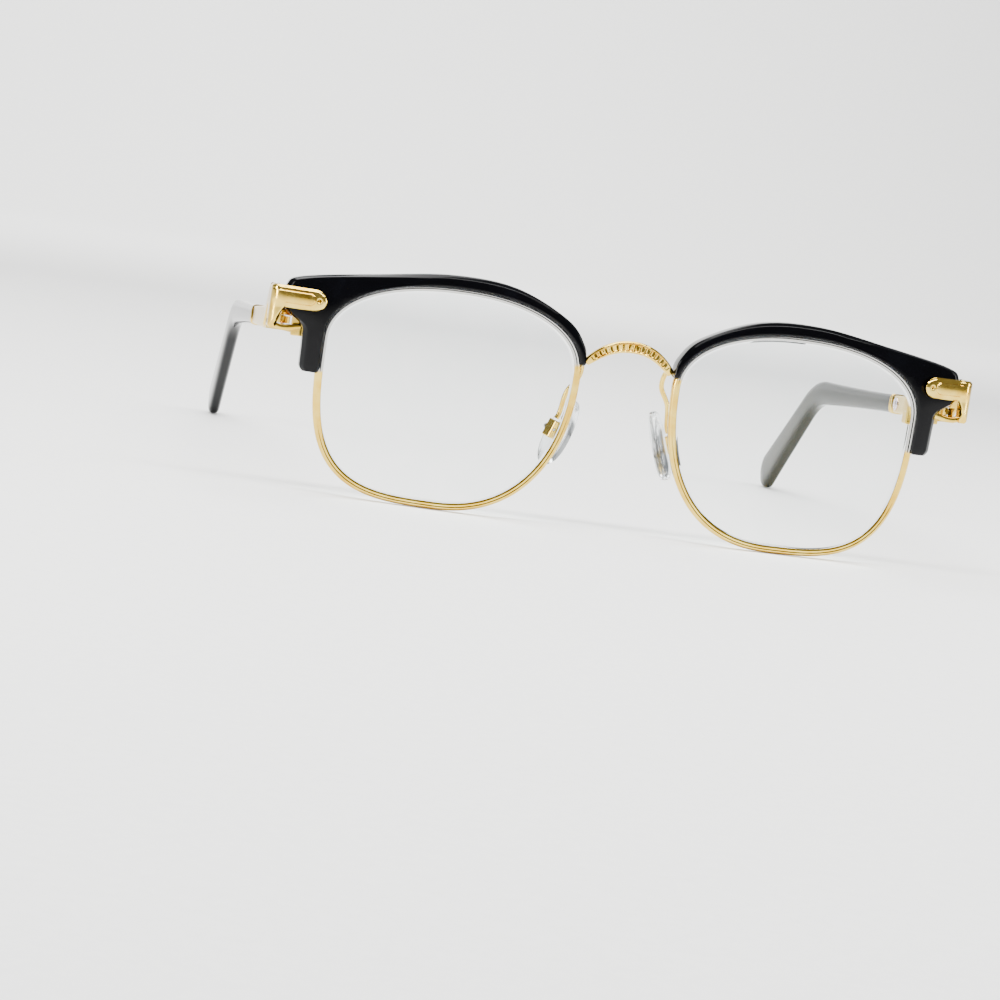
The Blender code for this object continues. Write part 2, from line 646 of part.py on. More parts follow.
# ---------------------------------------------------------------- nose pads
def pad_frame(side):
    """Axes of a pad: along its length, across its width (front to back), and towards the nose."""
    long_axis = Vector((side * math.sin(PAD_FLARE), 0, -math.cos(PAD_FLARE)))
    back_axis = Vector((side * math.sin(PAD_SPLAY), math.cos(PAD_SPLAY), 0))
    back_axis = (back_axis - long_axis * back_axis.dot(long_axis)).normalized()
    nose_axis = long_axis.cross(back_axis)
    if nose_axis.x * side > 0:
        nose_axis.negate()
    return long_axis, back_axis, nose_axis


def pad_centre(side):
    return Vector((side * PAD_SPREAD, PAD_BACK, PAD_HEIGHT))


def pad_ring(side, depth, grow):
    """The pad's outline, a plump drop: wider below, at a depth towards the nose."""
    long_axis, back_axis, nose_axis = pad_frame(side)
    ring = []
    count = 28
    for k in range(count):
        a = 2 * math.pi * k / count
        along = math.cos(a) * (PAD_LENGTH / 2 + grow)
        swell = 1 + 0.14 * math.cos(a)
        across = math.sin(a) * (PAD_WIDTH / 2 + grow) * swell
        ring.append(pad_centre(side) + long_axis * along + back_axis * across + nose_axis * depth)
    return ring


def make_nose_pad(name, side, mat, group):
    """Clear silicone pad: flat bearing face towards the nose, rounded edge, domed back."""
    half = PAD_THICK / 2
    layers = [(-half, -2.3 * MM), (-half * 0.75, -0.95 * MM), (-half * 0.3, -0.25 * MM), (0.0, 0.0),
              (half * 0.45, -0.12 * MM), (half * 0.8, -0.5 * MM), (half, -1.1 * MM)]
    return loft(name, [pad_ring(side, d, g) for d, g in layers], mat, group)


def pad_box_centre(side):
    _, _, nose_axis = pad_frame(side)
    return pad_centre(side) - nose_axis * (PAD_THICK / 2 + GAP + PAD_BOX.z / 2)


def pad_matrix(side):
    long_axis, back_axis, nose_axis = pad_frame(side)
    return Matrix((back_axis, long_axis, nose_axis)).transposed()


def make_pad_box(name, side, mat, group, cutters):
    """Gold box behind the pad, with a hole across it for the screw."""
    piece = box(name, pad_box_centre(side), PAD_BOX, mat, group, pad_matrix(side), 0.2 * MM)
    _, back_axis, _ = pad_frame(side)
    reach = back_axis * (PAD_BOX.x / 2 + 1 * MM)
    centre = pad_box_centre(side)
    hole = cylinder(name + "_hole", centre - reach, centre + reach, PAD_SCREW_RADIUS, None,
                    cutters, segments=10)
    return boolean(piece, hole, "DIFFERENCE", cutters)


def make_pad_screw(name, side, mat, group, cutters):
    _, back_axis, _ = pad_frame(side)
    centre = pad_box_centre(side)
    head_at = centre + back_axis * (PAD_BOX.x / 2 + 0.15 * MM)
    screw = cylinder(name, centre - back_axis * (PAD_BOX.x / 2 - 0.1 * MM),
                     head_at + back_axis * 0.1 * MM, PAD_SCREW_RADIUS * 0.6, mat, group, segments=8)
    head = cylinder(name + "_head", head_at, head_at + back_axis * 0.4 * MM, 0.65 * MM, None,
                    cutters, segments=12)
    return boolean(screw, head, "UNION", cutters)


def make_pad_arm(name, side, mat, group):
    """Bent wire from the back of the eyewire, out over the nose and down to the pad box."""
    top = POLE_Z + 2.4 * MM
    rim_back = front_y(RIM_NASAL, top) + RIM_DEPTH / 2 + GAP + WIRE_RADIUS * 1.2
    long_axis, _, _ = pad_frame(LEFT)
    target = pad_box_centre(LEFT) - long_axis * (PAD_BOX.y / 2 + GAP + 0.1 * MM)
    controls = [
        Vector((RIM_NASAL + RIM_THICK / 2, rim_back, top)),
        Vector((RIM_NASAL - 0.2 * MM, rim_back + 0.9 * MM, top + 0.7 * MM)),
        Vector((RIM_NASAL - 0.8 * MM, rim_back + 2.6 * MM, top - 0.2 * MM)),
        Vector((RIM_NASAL - 0.8 * MM, rim_back + 4.0 * MM, top - 3.0 * MM)),
        Vector((RIM_NASAL + 1.1 * MM, PAD_BACK - 1.4 * MM, top - 6.4 * MM)),
        target - long_axis * 1.5 * MM,
        target,
    ]
    return tube(name, mirrored(spline_points(controls, 4), side), WIRE_RADIUS, mat, group)


# ---------------------------------------------------------------- temples, in the open position
def temple_point(side, out, along, up):
    """Along the straight temple from the hinge axis: out from the axis, back, and up."""
    y = HINGE_BACK + along * math.cos(TEMPLE_DROP) + up * math.sin(TEMPLE_DROP)
    z = HINGE_Z - along * math.sin(TEMPLE_DROP) + up * math.cos(TEMPLE_DROP)
    return Vector((side * (HINGE_X + out), y, z))


def centre_line(along):
    """Centre line of the whole temple in its own plane: (back, up, slope below level)."""
    if along <= TEMPLE_STRAIGHT:
        return (along * math.cos(TEMPLE_DROP), -along * math.sin(TEMPLE_DROP), TEMPLE_DROP)
    arc = EAR_RADIUS * EAR_BEND
    turned = min(along - TEMPLE_STRAIGHT, arc) / EAR_RADIUS
    slope = TEMPLE_DROP + turned
    back = (TEMPLE_STRAIGHT * math.cos(TEMPLE_DROP)
            + EAR_RADIUS * (math.sin(slope) - math.sin(TEMPLE_DROP)))
    up = -(TEMPLE_STRAIGHT * math.sin(TEMPLE_DROP)
           + EAR_RADIUS * (math.cos(TEMPLE_DROP) - math.cos(slope)))
    rest = max(0.0, along - TEMPLE_STRAIGHT - arc)
    return (back + rest * math.cos(slope), up - rest * math.sin(slope), slope)


def temple_section(side, along, half_out, half_up, corner, count=3):
    """Rounded rectangle across the temple at a distance along it."""
    back, up, slope = centre_line(along)
    ring = []
    corners = ((1, 1, 0), (-1, 1, 1), (-1, -1, 2), (1, -1, 3))
    for sx, sz, quarter in corners:
        for k in range(count):
            a = math.pi / 2 * (quarter + k / (count - 1))
            x = sx * (half_out - corner) + corner * math.cos(a)
            z = sz * (half_up - corner) + corner * math.sin(a)
            ring.append(Vector((side * (HINGE_X + BAR_CENTRE + x),
                                HINGE_BACK + back + z * math.sin(slope),
                                HINGE_Z + up + z * math.cos(slope))))
    return ring


def make_temple_bar(name, side, mat, group, cutters):
    """Gold bar with the spring box: an open slot for the tongue and a bore for its spring."""
    half_out = BAR_THICK / 2
    rings = []
    steps = 5
    for k in range(steps + 1):
        along = BAR_START + BAR_LENGTH * k / steps
        half_up = (BAR_HEIGHT + (BAR_END_HEIGHT - BAR_HEIGHT) * k / steps) / 2
        rings.append(temple_section(side, along, half_out, half_up, 0.5 * MM))
    bar = loft(name, rings, mat, group)

    def block(label, out, along, size_out, size_along, size_up):
        frame = Matrix.Rotation(-TEMPLE_DROP, 3, "X")
        return box(name + label, temple_point(side, out, along, 0), (size_out, size_along, size_up),
                   None, cutters, frame)

    slot_depth = TONGUE_CENTRE + TONGUE_THICK / 2 + GAP - BAR_INSET
    slot = block("_slot", BAR_INSET + slot_depth / 2 - 0.5 * MM, BAR_START + SLOT_LENGTH / 2 - 0.5 * MM,
                 slot_depth + 1.0 * MM, SLOT_LENGTH + 1.0 * MM, SLOT_HEIGHT)
    boolean(bar, slot, "DIFFERENCE", cutters)
    slot_end = BAR_START + SLOT_LENGTH
    web_hole = cylinder(name + "_web_hole", temple_point(side, TONGUE_CENTRE, slot_end - 1 * MM, 0),
                        temple_point(side, TONGUE_CENTRE, slot_end + WEB + 1 * MM, 0),
                        ROD_RADIUS + 0.2 * MM, None, cutters, segments=12)
    boolean(bar, web_hole, "DIFFERENCE", cutters)
    bore = cylinder(name + "_bore", temple_point(side, TONGUE_CENTRE, slot_end + WEB, 0),
                    temple_point(side, TONGUE_CENTRE, slot_end + WEB + BORE_LENGTH, 0),
                    BORE_RADIUS, None, cutters, segments=14)
    boolean(bar, bore, "DIFFERENCE", cutters)
    core_hole = loft(name + "_core_hole", core_rings(side, BAR_END - 3.2 * MM, BAR_END + 2 * MM, GAP),
                     None, cutters)
    boolean(bar, core_hole, "DIFFERENCE", cutters)
    relief = block("_relief", BAR_INSET + BAR_THICK, BAR_START, BAR_RELIEF * math.sqrt(2),
                   BAR_RELIEF * math.sqrt(2), BAR_HEIGHT * 2)
    turn = Matrix.Rotation(math.radians(45), 4, "Z")
    centre = temple_point(side, BAR_INSET + BAR_THICK, BAR_START, 0)
    relief.data.transform(Matrix.Translation(centre) @ turn @ Matrix.Translation(-centre))
    boolean(bar, relief, "DIFFERENCE", cutters)
    return bar


def make_tongue(name, side, mat, group, cutters):
    """Middle knuckle of the hinge, its flat foot in the spring box, and the spring's rod."""
    up = Vector((0, 0, KNUCKLE_MIDDLE / 2))
    axis = Vector((side * HINGE_X, HINGE_BACK, HINGE_Z))
    piece = cylinder(name, axis - up, axis + up, KNUCKLE_RADIUS, mat, group, segments=20)
    frame = Matrix.Rotation(-TEMPLE_DROP, 3, "X")
    foot_end = BAR_START + SLOT_LENGTH - SPRING_TRAVEL - GAP
    neck = box(name + "_neck", temple_point(side, TONGUE_CENTRE / 2, 1.3 * MM, 0),
               (TONGUE_CENTRE + TONGUE_THICK, 1.5 * MM, KNUCKLE_MIDDLE * 0.85), None, cutters, frame)
    boolean(piece, neck, "UNION", cutters)
    foot = box(name + "_foot", temple_point(side, TONGUE_CENTRE, (0.7 * MM + foot_end) / 2, 0),
               (TONGUE_THICK, foot_end - 0.7 * MM, KNUCKLE_MIDDLE * 0.9), None, cutters, frame)
    boolean(piece, foot, "UNION", cutters)
    pad_start = BAR_START + 2.4 * MM
    pad = box(name + "_slide", temple_point(side, TONGUE_CENTRE, (pad_start + foot_end) / 2, 0),
              (TONGUE_THICK * 0.96, foot_end - pad_start, TONGUE_HEIGHT), None, cutters, frame)
    boolean(piece, pad, "UNION", cutters)
    rod_end = BAR_START + SLOT_LENGTH + WEB + BORE_LENGTH - SPRING_TRAVEL - GAP
    rod = cylinder(name + "_rod", temple_point(side, TONGUE_CENTRE, foot_end - 0.5 * MM, 0),
                   temple_point(side, TONGUE_CENTRE, rod_end, 0), ROD_RADIUS, None, cutters,
                   segments=12)
    boolean(piece, rod, "UNION", cutters)
    hole = cylinder(name + "_pin_hole", axis - up * 3, axis + up * 3, KNUCKLE_HOLE, None, cutters)
    boolean(piece, hole, "DIFFERENCE", cutters)
    return piece


def nut_start():
    """Front face of the nut, which leaves room for the slide's travel behind it."""
    return BAR_START + SLOT_LENGTH + WEB + BORE_LENGTH - SPRING_TRAVEL - 2 * GAP - NUT_LENGTH


def make_spring_nut(name, side, mat, group, cutters):
    nut = cylinder(name, temple_point(side, TONGUE_CENTRE, nut_start(), 0),
                   temple_point(side, TONGUE_CENTRE, nut_start() + NUT_LENGTH, 0),
                   BORE_RADIUS - 0.15 * MM, mat, group, segments=12)
    hole = cylinder(name + "_hole", temple_point(side, TONGUE_CENTRE, nut_start() - 1 * MM, 0),
                    temple_point(side, TONGUE_CENTRE, nut_start() + NUT_LENGTH + 1 * MM, 0),
                    ROD_RADIUS + 0.12 * MM, None, cutters, segments=12)
    return boolean(nut, hole, "DIFFERENCE", cutters)


def make_spring(name, side, mat, group):
    """Compression spring round the rod, between the box's web and the nut."""
    start = BAR_START + SLOT_LENGTH + WEB + 0.15 * MM + SPRING_WIRE
    end = nut_start() - 0.15 * MM - SPRING_WIRE
    radius = (ROD_RADIUS + BORE_RADIUS) / 2
    per_turn = 10
    count = SPRING_TURNS * per_turn
    points = []
    for k in range(count + 1):
        a = 2 * math.pi * k / per_turn
        along = start + (end - start) * k / count
        points.append(temple_point(side, TONGUE_CENTRE + radius * math.cos(a), along,
                                   radius * math.sin(a)))
    return tube(name, points, SPRING_WIRE, mat, group, resolution=0)


def core_rings(side, start, end, grow):
    steps = 12
    rings = []
    for k in range(steps + 1):
        along = start + (end - start) * k / steps
        rings.append(temple_section(side, along, CORE_THICK / 2 + grow, CORE_HEIGHT / 2 + grow,
                                    0.2 * MM, count=2))
    return rings


def core_end():
    return TEMPLE_STRAIGHT + EAR_RADIUS * EAR_BEND + CORE_PAST_BEND


def make_core(name, side, mat, group):
    """Flat wire from the bar through the ferrule and down the tip, so the tip can be bent."""
    return loft(name, core_rings(side, BAR_END - 2.8 * MM, core_end(), 0.0), mat, group)


def make_ferrule(name, side, mat, group, cutters):
    """Stepped gold ring that covers the joint between bar and tip."""
    start = BAR_END + GAP
    steps = ((0.0, 0.0), (0.08, 1.0), (0.38, 1.0), (0.46, 0.2), (0.58, 0.2), (0.66, 1.0),
             (0.92, 1.0), (1.0, 0.0))
    rings = []
    for share, proud in steps:
        half_out = TIP_THICK / 2 + FERRULE_PROUD * proud - 0.1 * MM
        half_up = BAR_END_HEIGHT / 2 + 0.1 * MM + FERRULE_PROUD * proud
        rings.append(temple_section(side, start + FERRULE_LENGTH * share, half_out, half_up,
                                    0.7 * MM))
    ferrule = loft(name, rings, mat, group)
    hole = loft(name + "_hole", core_rings(side, start - 1 * MM, start + FERRULE_LENGTH + 1 * MM, GAP),
                None, cutters)
    return boolean(ferrule, hole, "DIFFERENCE", cutters)


def make_stud(name, side, mat, group):
    """Plain domed stud on the inner face of the bar, just ahead of the ferrule."""
    along = BAR_END - STUD_RADIUS - 0.5 * MM
    face = BAR_INSET - 0.1 * MM
    return cylinder(name, temple_point(side, face, along, 0),
                    temple_point(side, face - STUD_PROUD, along, 0), STUD_RADIUS, mat, group,
                    segments=20, radius_end=STUD_RADIUS * 0.75)


def make_tip(name, side, mat, group, cutters):
    """Black acetate earpiece: straight, bent down behind the ear, ending in a rounded paddle."""
    arc = EAR_RADIUS * EAR_BEND
    centre_end = TEMPLE_STRAIGHT + arc + PADDLE_RUN
    rings = []
    half_out = TIP_THICK / 2
    stations = [TIP_START + (TEMPLE_STRAIGHT - TIP_START) * k / 5 for k in range(5)]
    stations += [TEMPLE_STRAIGHT + arc * k / 6 for k in range(7)]
    stations += [TEMPLE_STRAIGHT + arc + PADDLE_RUN * k / 5 for k in range(1, 6)]
    grow_from = TIP_START
    for along in stations:
        share = max(0.0, (along - grow_from) / (centre_end - grow_from))
        half_up = TIP_HEIGHT / 2 + (PADDLE_RADIUS - TIP_HEIGHT / 2) * share ** 1.8
        rings.append(temple_section(side, along, half_out, half_up, 0.9 * MM))
    for k in range(1, 7):
        a = math.pi / 2 * k / 6.6
        half_up = PADDLE_RADIUS * math.cos(a)
        corner = min(0.9 * MM, half_up * 0.6)
        rings.append(temple_section(side, centre_end + PADDLE_RADIUS * math.sin(a), half_out,
                                    half_up, corner))
    tip = loft(name, rings, mat, group)
    hole = loft(name + "_bore", core_rings(side, TIP_START - 1 * MM, core_end() + GAP, GAP), None,
                cutters)
    return boolean(tip, hole, "DIFFERENCE", cutters)


# ---------------------------------------------------------------- assembly
def axis_empty(name, place, group):
    empty = bpy.data.objects.new(name, None)
    empty.empty_display_size = 5 * MM
    empty.location = place
    group.objects.link(empty)
    return empty


def hang(obj, empty):
    """Parent a piece to an empty without moving it."""
    obj.parent = empty
    obj.matrix_parent_inverse = empty.matrix_world.inverted()


def main():
    clear_scene()
    group = bpy.data.collections.new("browline_eyeglasses")
    cutters = bpy.data.collections.new("cutters")
    for collection in (group, cutters):
        bpy.context.scene.collection.children.link(collection)

    gold = principled("polished_gold", (0.74, 0.52, 0.2), 0.16, metallic=1.0)
    acetate = principled("black_acetate", (0.008, 0.008, 0.011), 0.12)
    glass = principled("clear_lens", (0.95, 0.98, 0.98), 0.02, transmission=1.0)
    silicone = principled("clear_silicone", (0.9, 0.92, 0.92), 0.25, transmission=0.9)
    steel = principled("steel_screws", (0.6, 0.6, 0.62), 0.3, metallic=1.0)
    chrome = principled("polished_stud", (0.75, 0.72, 0.76), 0.12, metallic=1.0)

    stand = axis_empty("eyeglasses", (0, 0, 0), group)
    moving = []
    bridge = make_bridge("bridge", gold, group)
    front = [bridge]
    for word, side in SIDES:
        front.append(make_eyewire(f"eyewire_{word}", side, gold, group))
        front.append(make_lens(f"lens_{word}", side, glass, group))
        front.append(make_brow(f"brow_{word}", side, acetate, group, cutters))
        for label, spot in brow_screw_spots().items():
            front.append(make_brow_screw(f"brow_screw_{label}_{word}", side, spot, steel, group,
                                         cutters))
        shield, shield_back = make_shield(f"shield_{word}", side, gold, group)
        front.append(shield)
        front.append(make_endpiece(f"endpiece_{word}", side, shield_back, gold, group, cutters))
        front.append(make_closing_block(f"closing_block_{word}", side, gold, group, cutters))
        block_top = POLE_Z + BLOCK_ABOVE_POLE + BLOCK.z / 2 + 0.1 * MM
        front.append(make_upright_screw(f"closing_screw_{word}", side, block_x(),
                                        block_back() - BLOCK.y / 2, block_top,
                                        BLOCK.z - 0.5 * MM, SCREW_RADIUS, SCREW_HEAD_RADIUS,
                                        steel, group, cutters))
        knuckles_top = HINGE_Z + KNUCKLE_MIDDLE / 2 + GAP + KNUCKLE_OUTER + 0.1 * MM
        pin_length = KNUCKLE_MIDDLE + 2 * GAP + 2 * KNUCKLE_OUTER
        front.append(make_upright_screw(f"hinge_screw_{word}", side, HINGE_X, HINGE_BACK,
                                        knuckles_top, pin_length, PIN_RADIUS,
                                        SCREW_HEAD_RADIUS * 1.35, steel, group, cutters))
        front.append(make_pad_arm(f"pad_arm_{word}", side, gold, group))
        front.append(make_pad_box(f"pad_box_{word}", side, gold, group, cutters))
        front.append(make_pad_screw(f"pad_screw_{word}", side, steel, group, cutters))

        rocker = axis_empty(f"pad_axis_{word}", pad_box_centre(side), group)
        hinge = axis_empty(f"hinge_axis_{word}", (side * HINGE_X, HINGE_BACK, HINGE_Z), group)
        slide = axis_empty(f"slide_axis_{word}", temple_point(side, TONGUE_CENTRE, BAR_START, 0),
                           group)
        bpy.context.view_layer.update()
        pads = [make_nose_pad(f"nose_pad_{word}", side, silicone, group)]
        tongue = [make_tongue(f"hinge_tongue_{word}", side, gold, group, cutters),
                  make_spring_nut(f"spring_nut_{word}", side, steel, group, cutters)]
        temple = [make_temple_bar(f"temple_bar_{word}", side, gold, group, cutters),
                  make_spring(f"hinge_spring_{word}", side, steel, group),
                  make_ferrule(f"ferrule_{word}", side, gold, group, cutters),
                  make_stud(f"stud_{word}", side, chrome, group),
                  make_core(f"temple_core_{word}", side, steel, group),
                  make_tip(f"temple_tip_{word}", side, acetate, group, cutters)]
        moving += [(rocker, pads), (hinge, tongue), (slide, temple)]
        hang(slide, hinge)

    for piece in front:
        hang(piece, stand)
    for empty, pieces in moving:
        for piece in pieces:
            hang(piece, empty)
        if empty.parent is None:
            hang(empty, stand)
    for cutter in cutters.objects:
        hang(cutter, stand)

    # the origin is the middle of the footprint, on the surface that the glasses stand on
    bpy.context.view_layer.update()
    depsgraph = bpy.context.evaluated_depsgraph_get()
    corners = []
    for obj in group.objects:
        if obj.type == "MESH":
            solid = obj.evaluated_get(depsgraph)
            corners += [solid.matrix_world @ v.co for v in solid.data.vertices]
    low = Vector(min(p[i] for p in corners) for i in range(3))
    high = Vector(max(p[i] for p in corners) for i in range(3))
    stand.location = -Vector(((low.x + high.x) / 2, (low.y + high.y) / 2, low.z))
    bpy.context.view_layer.update()
    size = (high - low) / MM
    print("size mm: %.2f %.2f %.2f" % tuple(size))
    for empty in group.objects:
        if empty.type == "EMPTY":
            place = empty.matrix_world.translation
            print("axis %s: %.6f %.6f %.6f" % (empty.name, *place))


main()
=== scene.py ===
# %% [markdown]
# # Browline eyeglasses
# A pair of eyeglasses with a black acetate brow over a fine gold eyewire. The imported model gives
# every place and every joint. This notebook dresses it: each piece that shows is made again as a
# fine surface worked out with numpy, and each gets the finish that the real one has.

# %% Load the frame
import json
import math

import bpy
import numpy as np
from mathutils import Matrix, Vector


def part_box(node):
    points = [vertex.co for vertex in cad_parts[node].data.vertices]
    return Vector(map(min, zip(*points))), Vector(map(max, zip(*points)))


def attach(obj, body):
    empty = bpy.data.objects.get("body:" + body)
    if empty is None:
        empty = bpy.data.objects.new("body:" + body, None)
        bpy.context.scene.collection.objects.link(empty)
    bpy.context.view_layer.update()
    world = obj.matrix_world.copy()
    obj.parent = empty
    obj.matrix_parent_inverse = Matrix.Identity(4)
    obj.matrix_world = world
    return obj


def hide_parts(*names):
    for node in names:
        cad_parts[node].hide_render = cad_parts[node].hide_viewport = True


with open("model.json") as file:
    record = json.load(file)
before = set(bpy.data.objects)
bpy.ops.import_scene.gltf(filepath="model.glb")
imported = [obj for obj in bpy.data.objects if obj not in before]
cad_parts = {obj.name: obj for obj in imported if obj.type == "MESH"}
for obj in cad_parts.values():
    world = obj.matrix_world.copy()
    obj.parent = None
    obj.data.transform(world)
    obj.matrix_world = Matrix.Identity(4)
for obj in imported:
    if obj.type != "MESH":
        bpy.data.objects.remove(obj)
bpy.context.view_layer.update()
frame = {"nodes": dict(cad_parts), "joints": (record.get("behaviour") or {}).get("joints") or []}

# %% [markdown]
# ## Measures that everything hangs on
# An optician describes a frame by the boxed size of its rims, the gap between them and the
# place of the hinges. The box of one eyewire and one hinge joint of the frame give all of these,
# in metres. The wearer's left is +X, and the front looks towards -Y.

# %% Measures
MM = 0.001
SIDES = (("left", 1.0), ("right", -1.0))
rim_low, rim_high = (np.array(corner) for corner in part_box("eyewire_left"))
RIM_NASAL, RIM_TEMPORAL = rim_low[0], rim_high[0]
LENS_WIDTH, LENS_HEIGHT = RIM_TEMPORAL - RIM_NASAL, rim_high[2] - rim_low[2]
LENS_X, LENS_Z = RIM_NASAL + LENS_WIDTH / 2, LENS_HEIGHT / 2
CROWN_X, POLE_Z = RIM_NASAL + 0.490 * LENS_WIDTH, 0.684 * LENS_HEIGHT
OUTER_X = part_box("shield_left")[1].x
HINGE = np.array(next(j["pos_m"] for j in frame["joints"] if j["name"] == "temple_hinge_left"))
print("one rim %.1f x %.1f mm, bridge gap %.1f mm, hinges %.1f mm apart" % tuple(
    v / MM for v in (LENS_WIDTH, LENS_HEIGHT, 2 * RIM_NASAL, 2 * HINGE[0])))

# %% [markdown]
# ## The surface that the front lies on
# Lens, eyewire, brow and bridge of real glasses all follow one gentle dish: the curve of the
# lens, turned back a little at the temples and leaned a little forward at the top. With one
# function for that dish, every piece of the front can be drawn flat, in x and z, and laid on it.

# %% The front's dish
DISH_RADIUS = 130 * MM
WRAP, TILT = math.tan(math.radians(4)), math.tan(math.radians(5))
CORNER = np.array([7.9, 11.0]) * MM      # brow's corner beyond the rim's widest point
SHIELD_RISE = 7.2 * MM                   # shield's centre line above the rim's widest level


def dish(x, z):
    """Sphere plus two slopes: (across^2 + up^2) / 2R + wrap * across - tilt * up."""
    across, up = np.abs(x) - LENS_X, z - LENS_Z
    return (across ** 2 + up ** 2) / (2 * DISH_RADIUS) + WRAP * across - TILT * up


FRONT_Y = HINGE[1] - 6.28 * MM - dish(RIM_TEMPORAL + CORNER[0], POLE_Z + SHIELD_RISE)


def on_front(plan, deep):
    """Lay points (x, z) of the left half on the dish, at a depth behind the rim's middle."""
    x, z = plan[..., 0], plan[..., 1]
    return np.stack([x, FRONT_Y + dish(x, z) + deep, z], -1)


print("front's middle at y = %.1f mm" % (FRONT_Y / MM))

# %% [markdown]
# ## Camera
# A long lens from just above the table, a little to the wearer's right, and rolled, so that the
# near brow rides higher than the far one. There is no shift and no depth of field.

# %% Camera
YAW, LIFT, ROLL = math.radians(9.45), math.radians(6.0), math.radians(8.47)
AWAY, LENS = 0.587, 108.0                # camera to aim in metres, focal length in mm
camera_data = bpy.data.cameras.new("camera")
camera_data.lens = LENS
camera = bpy.data.objects.new("camera", camera_data)
bpy.context.scene.collection.objects.link(camera)
forward = Vector((math.sin(YAW) * math.cos(LIFT), math.cos(YAW) * math.cos(LIFT), -math.sin(LIFT)))
right = Vector((math.cos(YAW), -math.sin(YAW), 0.0))
up = right.cross(forward)
turned_right = right * math.cos(ROLL) + up * math.sin(ROLL)
turned_up = up * math.cos(ROLL) - right * math.sin(ROLL)
aim = Vector((-21.4 * MM, FRONT_Y, 3.9 * MM))
place = aim - forward * AWAY
camera.matrix_world = Matrix.Translation(place) @ Matrix(
    (turned_right, turned_up, -forward)).transposed().to_4x4()
bpy.context.scene.camera = camera
print("camera %.0f mm away, %.0f mm up" % (AWAY / MM, place.z / MM))

# %% [markdown]
# ## Colours and nodes
# Colours are picked as sRGB hex values and turned to linear light by one function. One small
# function adds a node, sets what is given as a value, and links what is given as a socket.

# %% Colour and node helpers
def colour(hex_code):
    """sRGB to linear: c / 12.92 below 0.04045, else ((c + 0.055) / 1.055) ^ 2.4."""
    srgb = np.array([int(hex_code[k:k + 2], 16) for k in (1, 3, 5)]) / 255
    linear = np.where(srgb <= 0.04045, srgb / 12.92, ((srgb + 0.055) / 1.055) ** 2.4)
    return (*linear.tolist(), 1.0)


def add(tree, kind, sockets=None, **settings):
    """Adds one shader node: settings are its properties, sockets are values or links."""
    node = tree.nodes.new("ShaderNode" + kind)
    for key, value in settings.items():
        setattr(node, key, value)
    for key, value in (sockets or {}).items():
        if isinstance(value, bpy.types.NodeSocket):
            tree.links.new(value, node.inputs[key])
        else:
            node.inputs[key].default_value = value
    return node


def ramp(tree, factor, stops):
    """Colour ramp through (position, hex) stops."""
    node = add(tree, "ValToRGB", {"Fac": factor})
    marks = node.color_ramp.elements
    while len(marks) < len(stops):
        marks.new(0.5)
    for mark, (position, hex_code) in zip(marks, stops):
        mark.position, mark.color = position, colour(hex_code)
    return node.outputs["Color"]


def start_material(name):
    """An empty material with its tree, its Principled shader and the object's coordinates."""
    material = bpy.data.materials.new(name)
    material.use_nodes = True
    tree = material.node_tree
    shader = tree.nodes["Principled BSDF"]
    return material, tree, shader, add(tree, "TexCoord").outputs["Object"]


def per_metre(size_mm):
    """Noise scale whose blotches are about this many millimetres across."""
    return 1 / (size_mm * MM)


print("gold mid tone is", [round(c, 3) for c in colour("#D9C27A")])

# %% [markdown]
# ## Metal finishes
# The eyewire, bridge and endpieces are a nickel alloy, polished and plated with pale gold. Such
# plating is a mirror whose roughness drifts a little where fingers have been, over very fine
# polishing marks. Where the brow covers the eyewire, a silver-grey is painted on it: a painted
# highlight for the bright line of light along the brow's inner edge. The temple bars are lapped
# lengthwise, which leaves grain along them.

# %% Gold plating, polished and lapped
def gold_plating(name, tones, smooth, rough, grain_mm, stretch, depth):
    """Metal: tint and roughness from cloudy noise, relief from fine noise drawn out by stretch."""
    material, tree, shader, place = start_material(name)
    cloud = add(tree, "TexNoise", {"Vector": place, "Scale": per_metre(3), "Detail": 3.0})
    drawn = add(tree, "Mapping", {"Vector": place, "Scale": stretch})
    grain = add(tree, "TexNoise", {"Vector": drawn.outputs[0], "Scale": per_metre(grain_mm),
                                   "Detail": 4.0})
    spread = add(tree, "MapRange", {"Value": cloud.outputs["Fac"], "From Min": 0.3,
                                    "From Max": 0.7, "To Min": smooth, "To Max": rough})
    marks = add(tree, "MapRange", {"Value": grain.outputs["Fac"], "From Min": 0.35,
                                   "From Max": 0.65, "To Min": -0.03, "To Max": 0.05})
    total = add(tree, "Math", {0: spread.outputs[0], 1: marks.outputs[0]}, operation="ADD")
    relief = add(tree, "Bump", {"Height": grain.outputs["Fac"], "Strength": 0.35,
                                "Distance": depth})
    tree.links.new(ramp(tree, cloud.outputs["Fac"], tones), shader.inputs["Base Color"])
    tree.links.new(total.outputs[0], shader.inputs["Roughness"])
    tree.links.new(relief.outputs[0], shader.inputs["Normal"])
    shader.inputs["Metallic"].default_value = 1.0
    return material


def paint_brow_edge_highlight(material, level, slope):
    """Mixes in a painted highlight, a silver-grey, where height + slope * distance from the nose
    is over a level, which is the part of the eyewire that the brow covers."""
    tree = material.node_tree
    shader = tree.nodes["Principled BSDF"]
    tint = shader.inputs["Base Color"].links[0].from_socket
    parts = add(tree, "SeparateXYZ", {0: add(tree, "TexCoord").outputs["Object"]})
    across = add(tree, "Math", {0: parts.outputs["X"]}, operation="ABSOLUTE")
    reach = add(tree, "Math", {0: across.outputs[0], 1: slope, 2: parts.outputs["Z"]},
                operation="MULTIPLY_ADD")
    # Painted highlight: silver-grey on the eyewire above the level, standing in for the bright
    # line of light along the brow's inner edge.
    share = add(tree, "MapRange", {"Value": reach.outputs[0], "From Min": level - 0.3 * MM,
                                   "From Max": level + 0.3 * MM})
    highlight_mix = add(tree, "MixRGB", {"Fac": share.outputs[0], "Color1": tint,
                                 "Color2": colour("#B4B3B0")})
    tree.links.new(highlight_mix.outputs[0], shader.inputs["Base Color"])
    return material


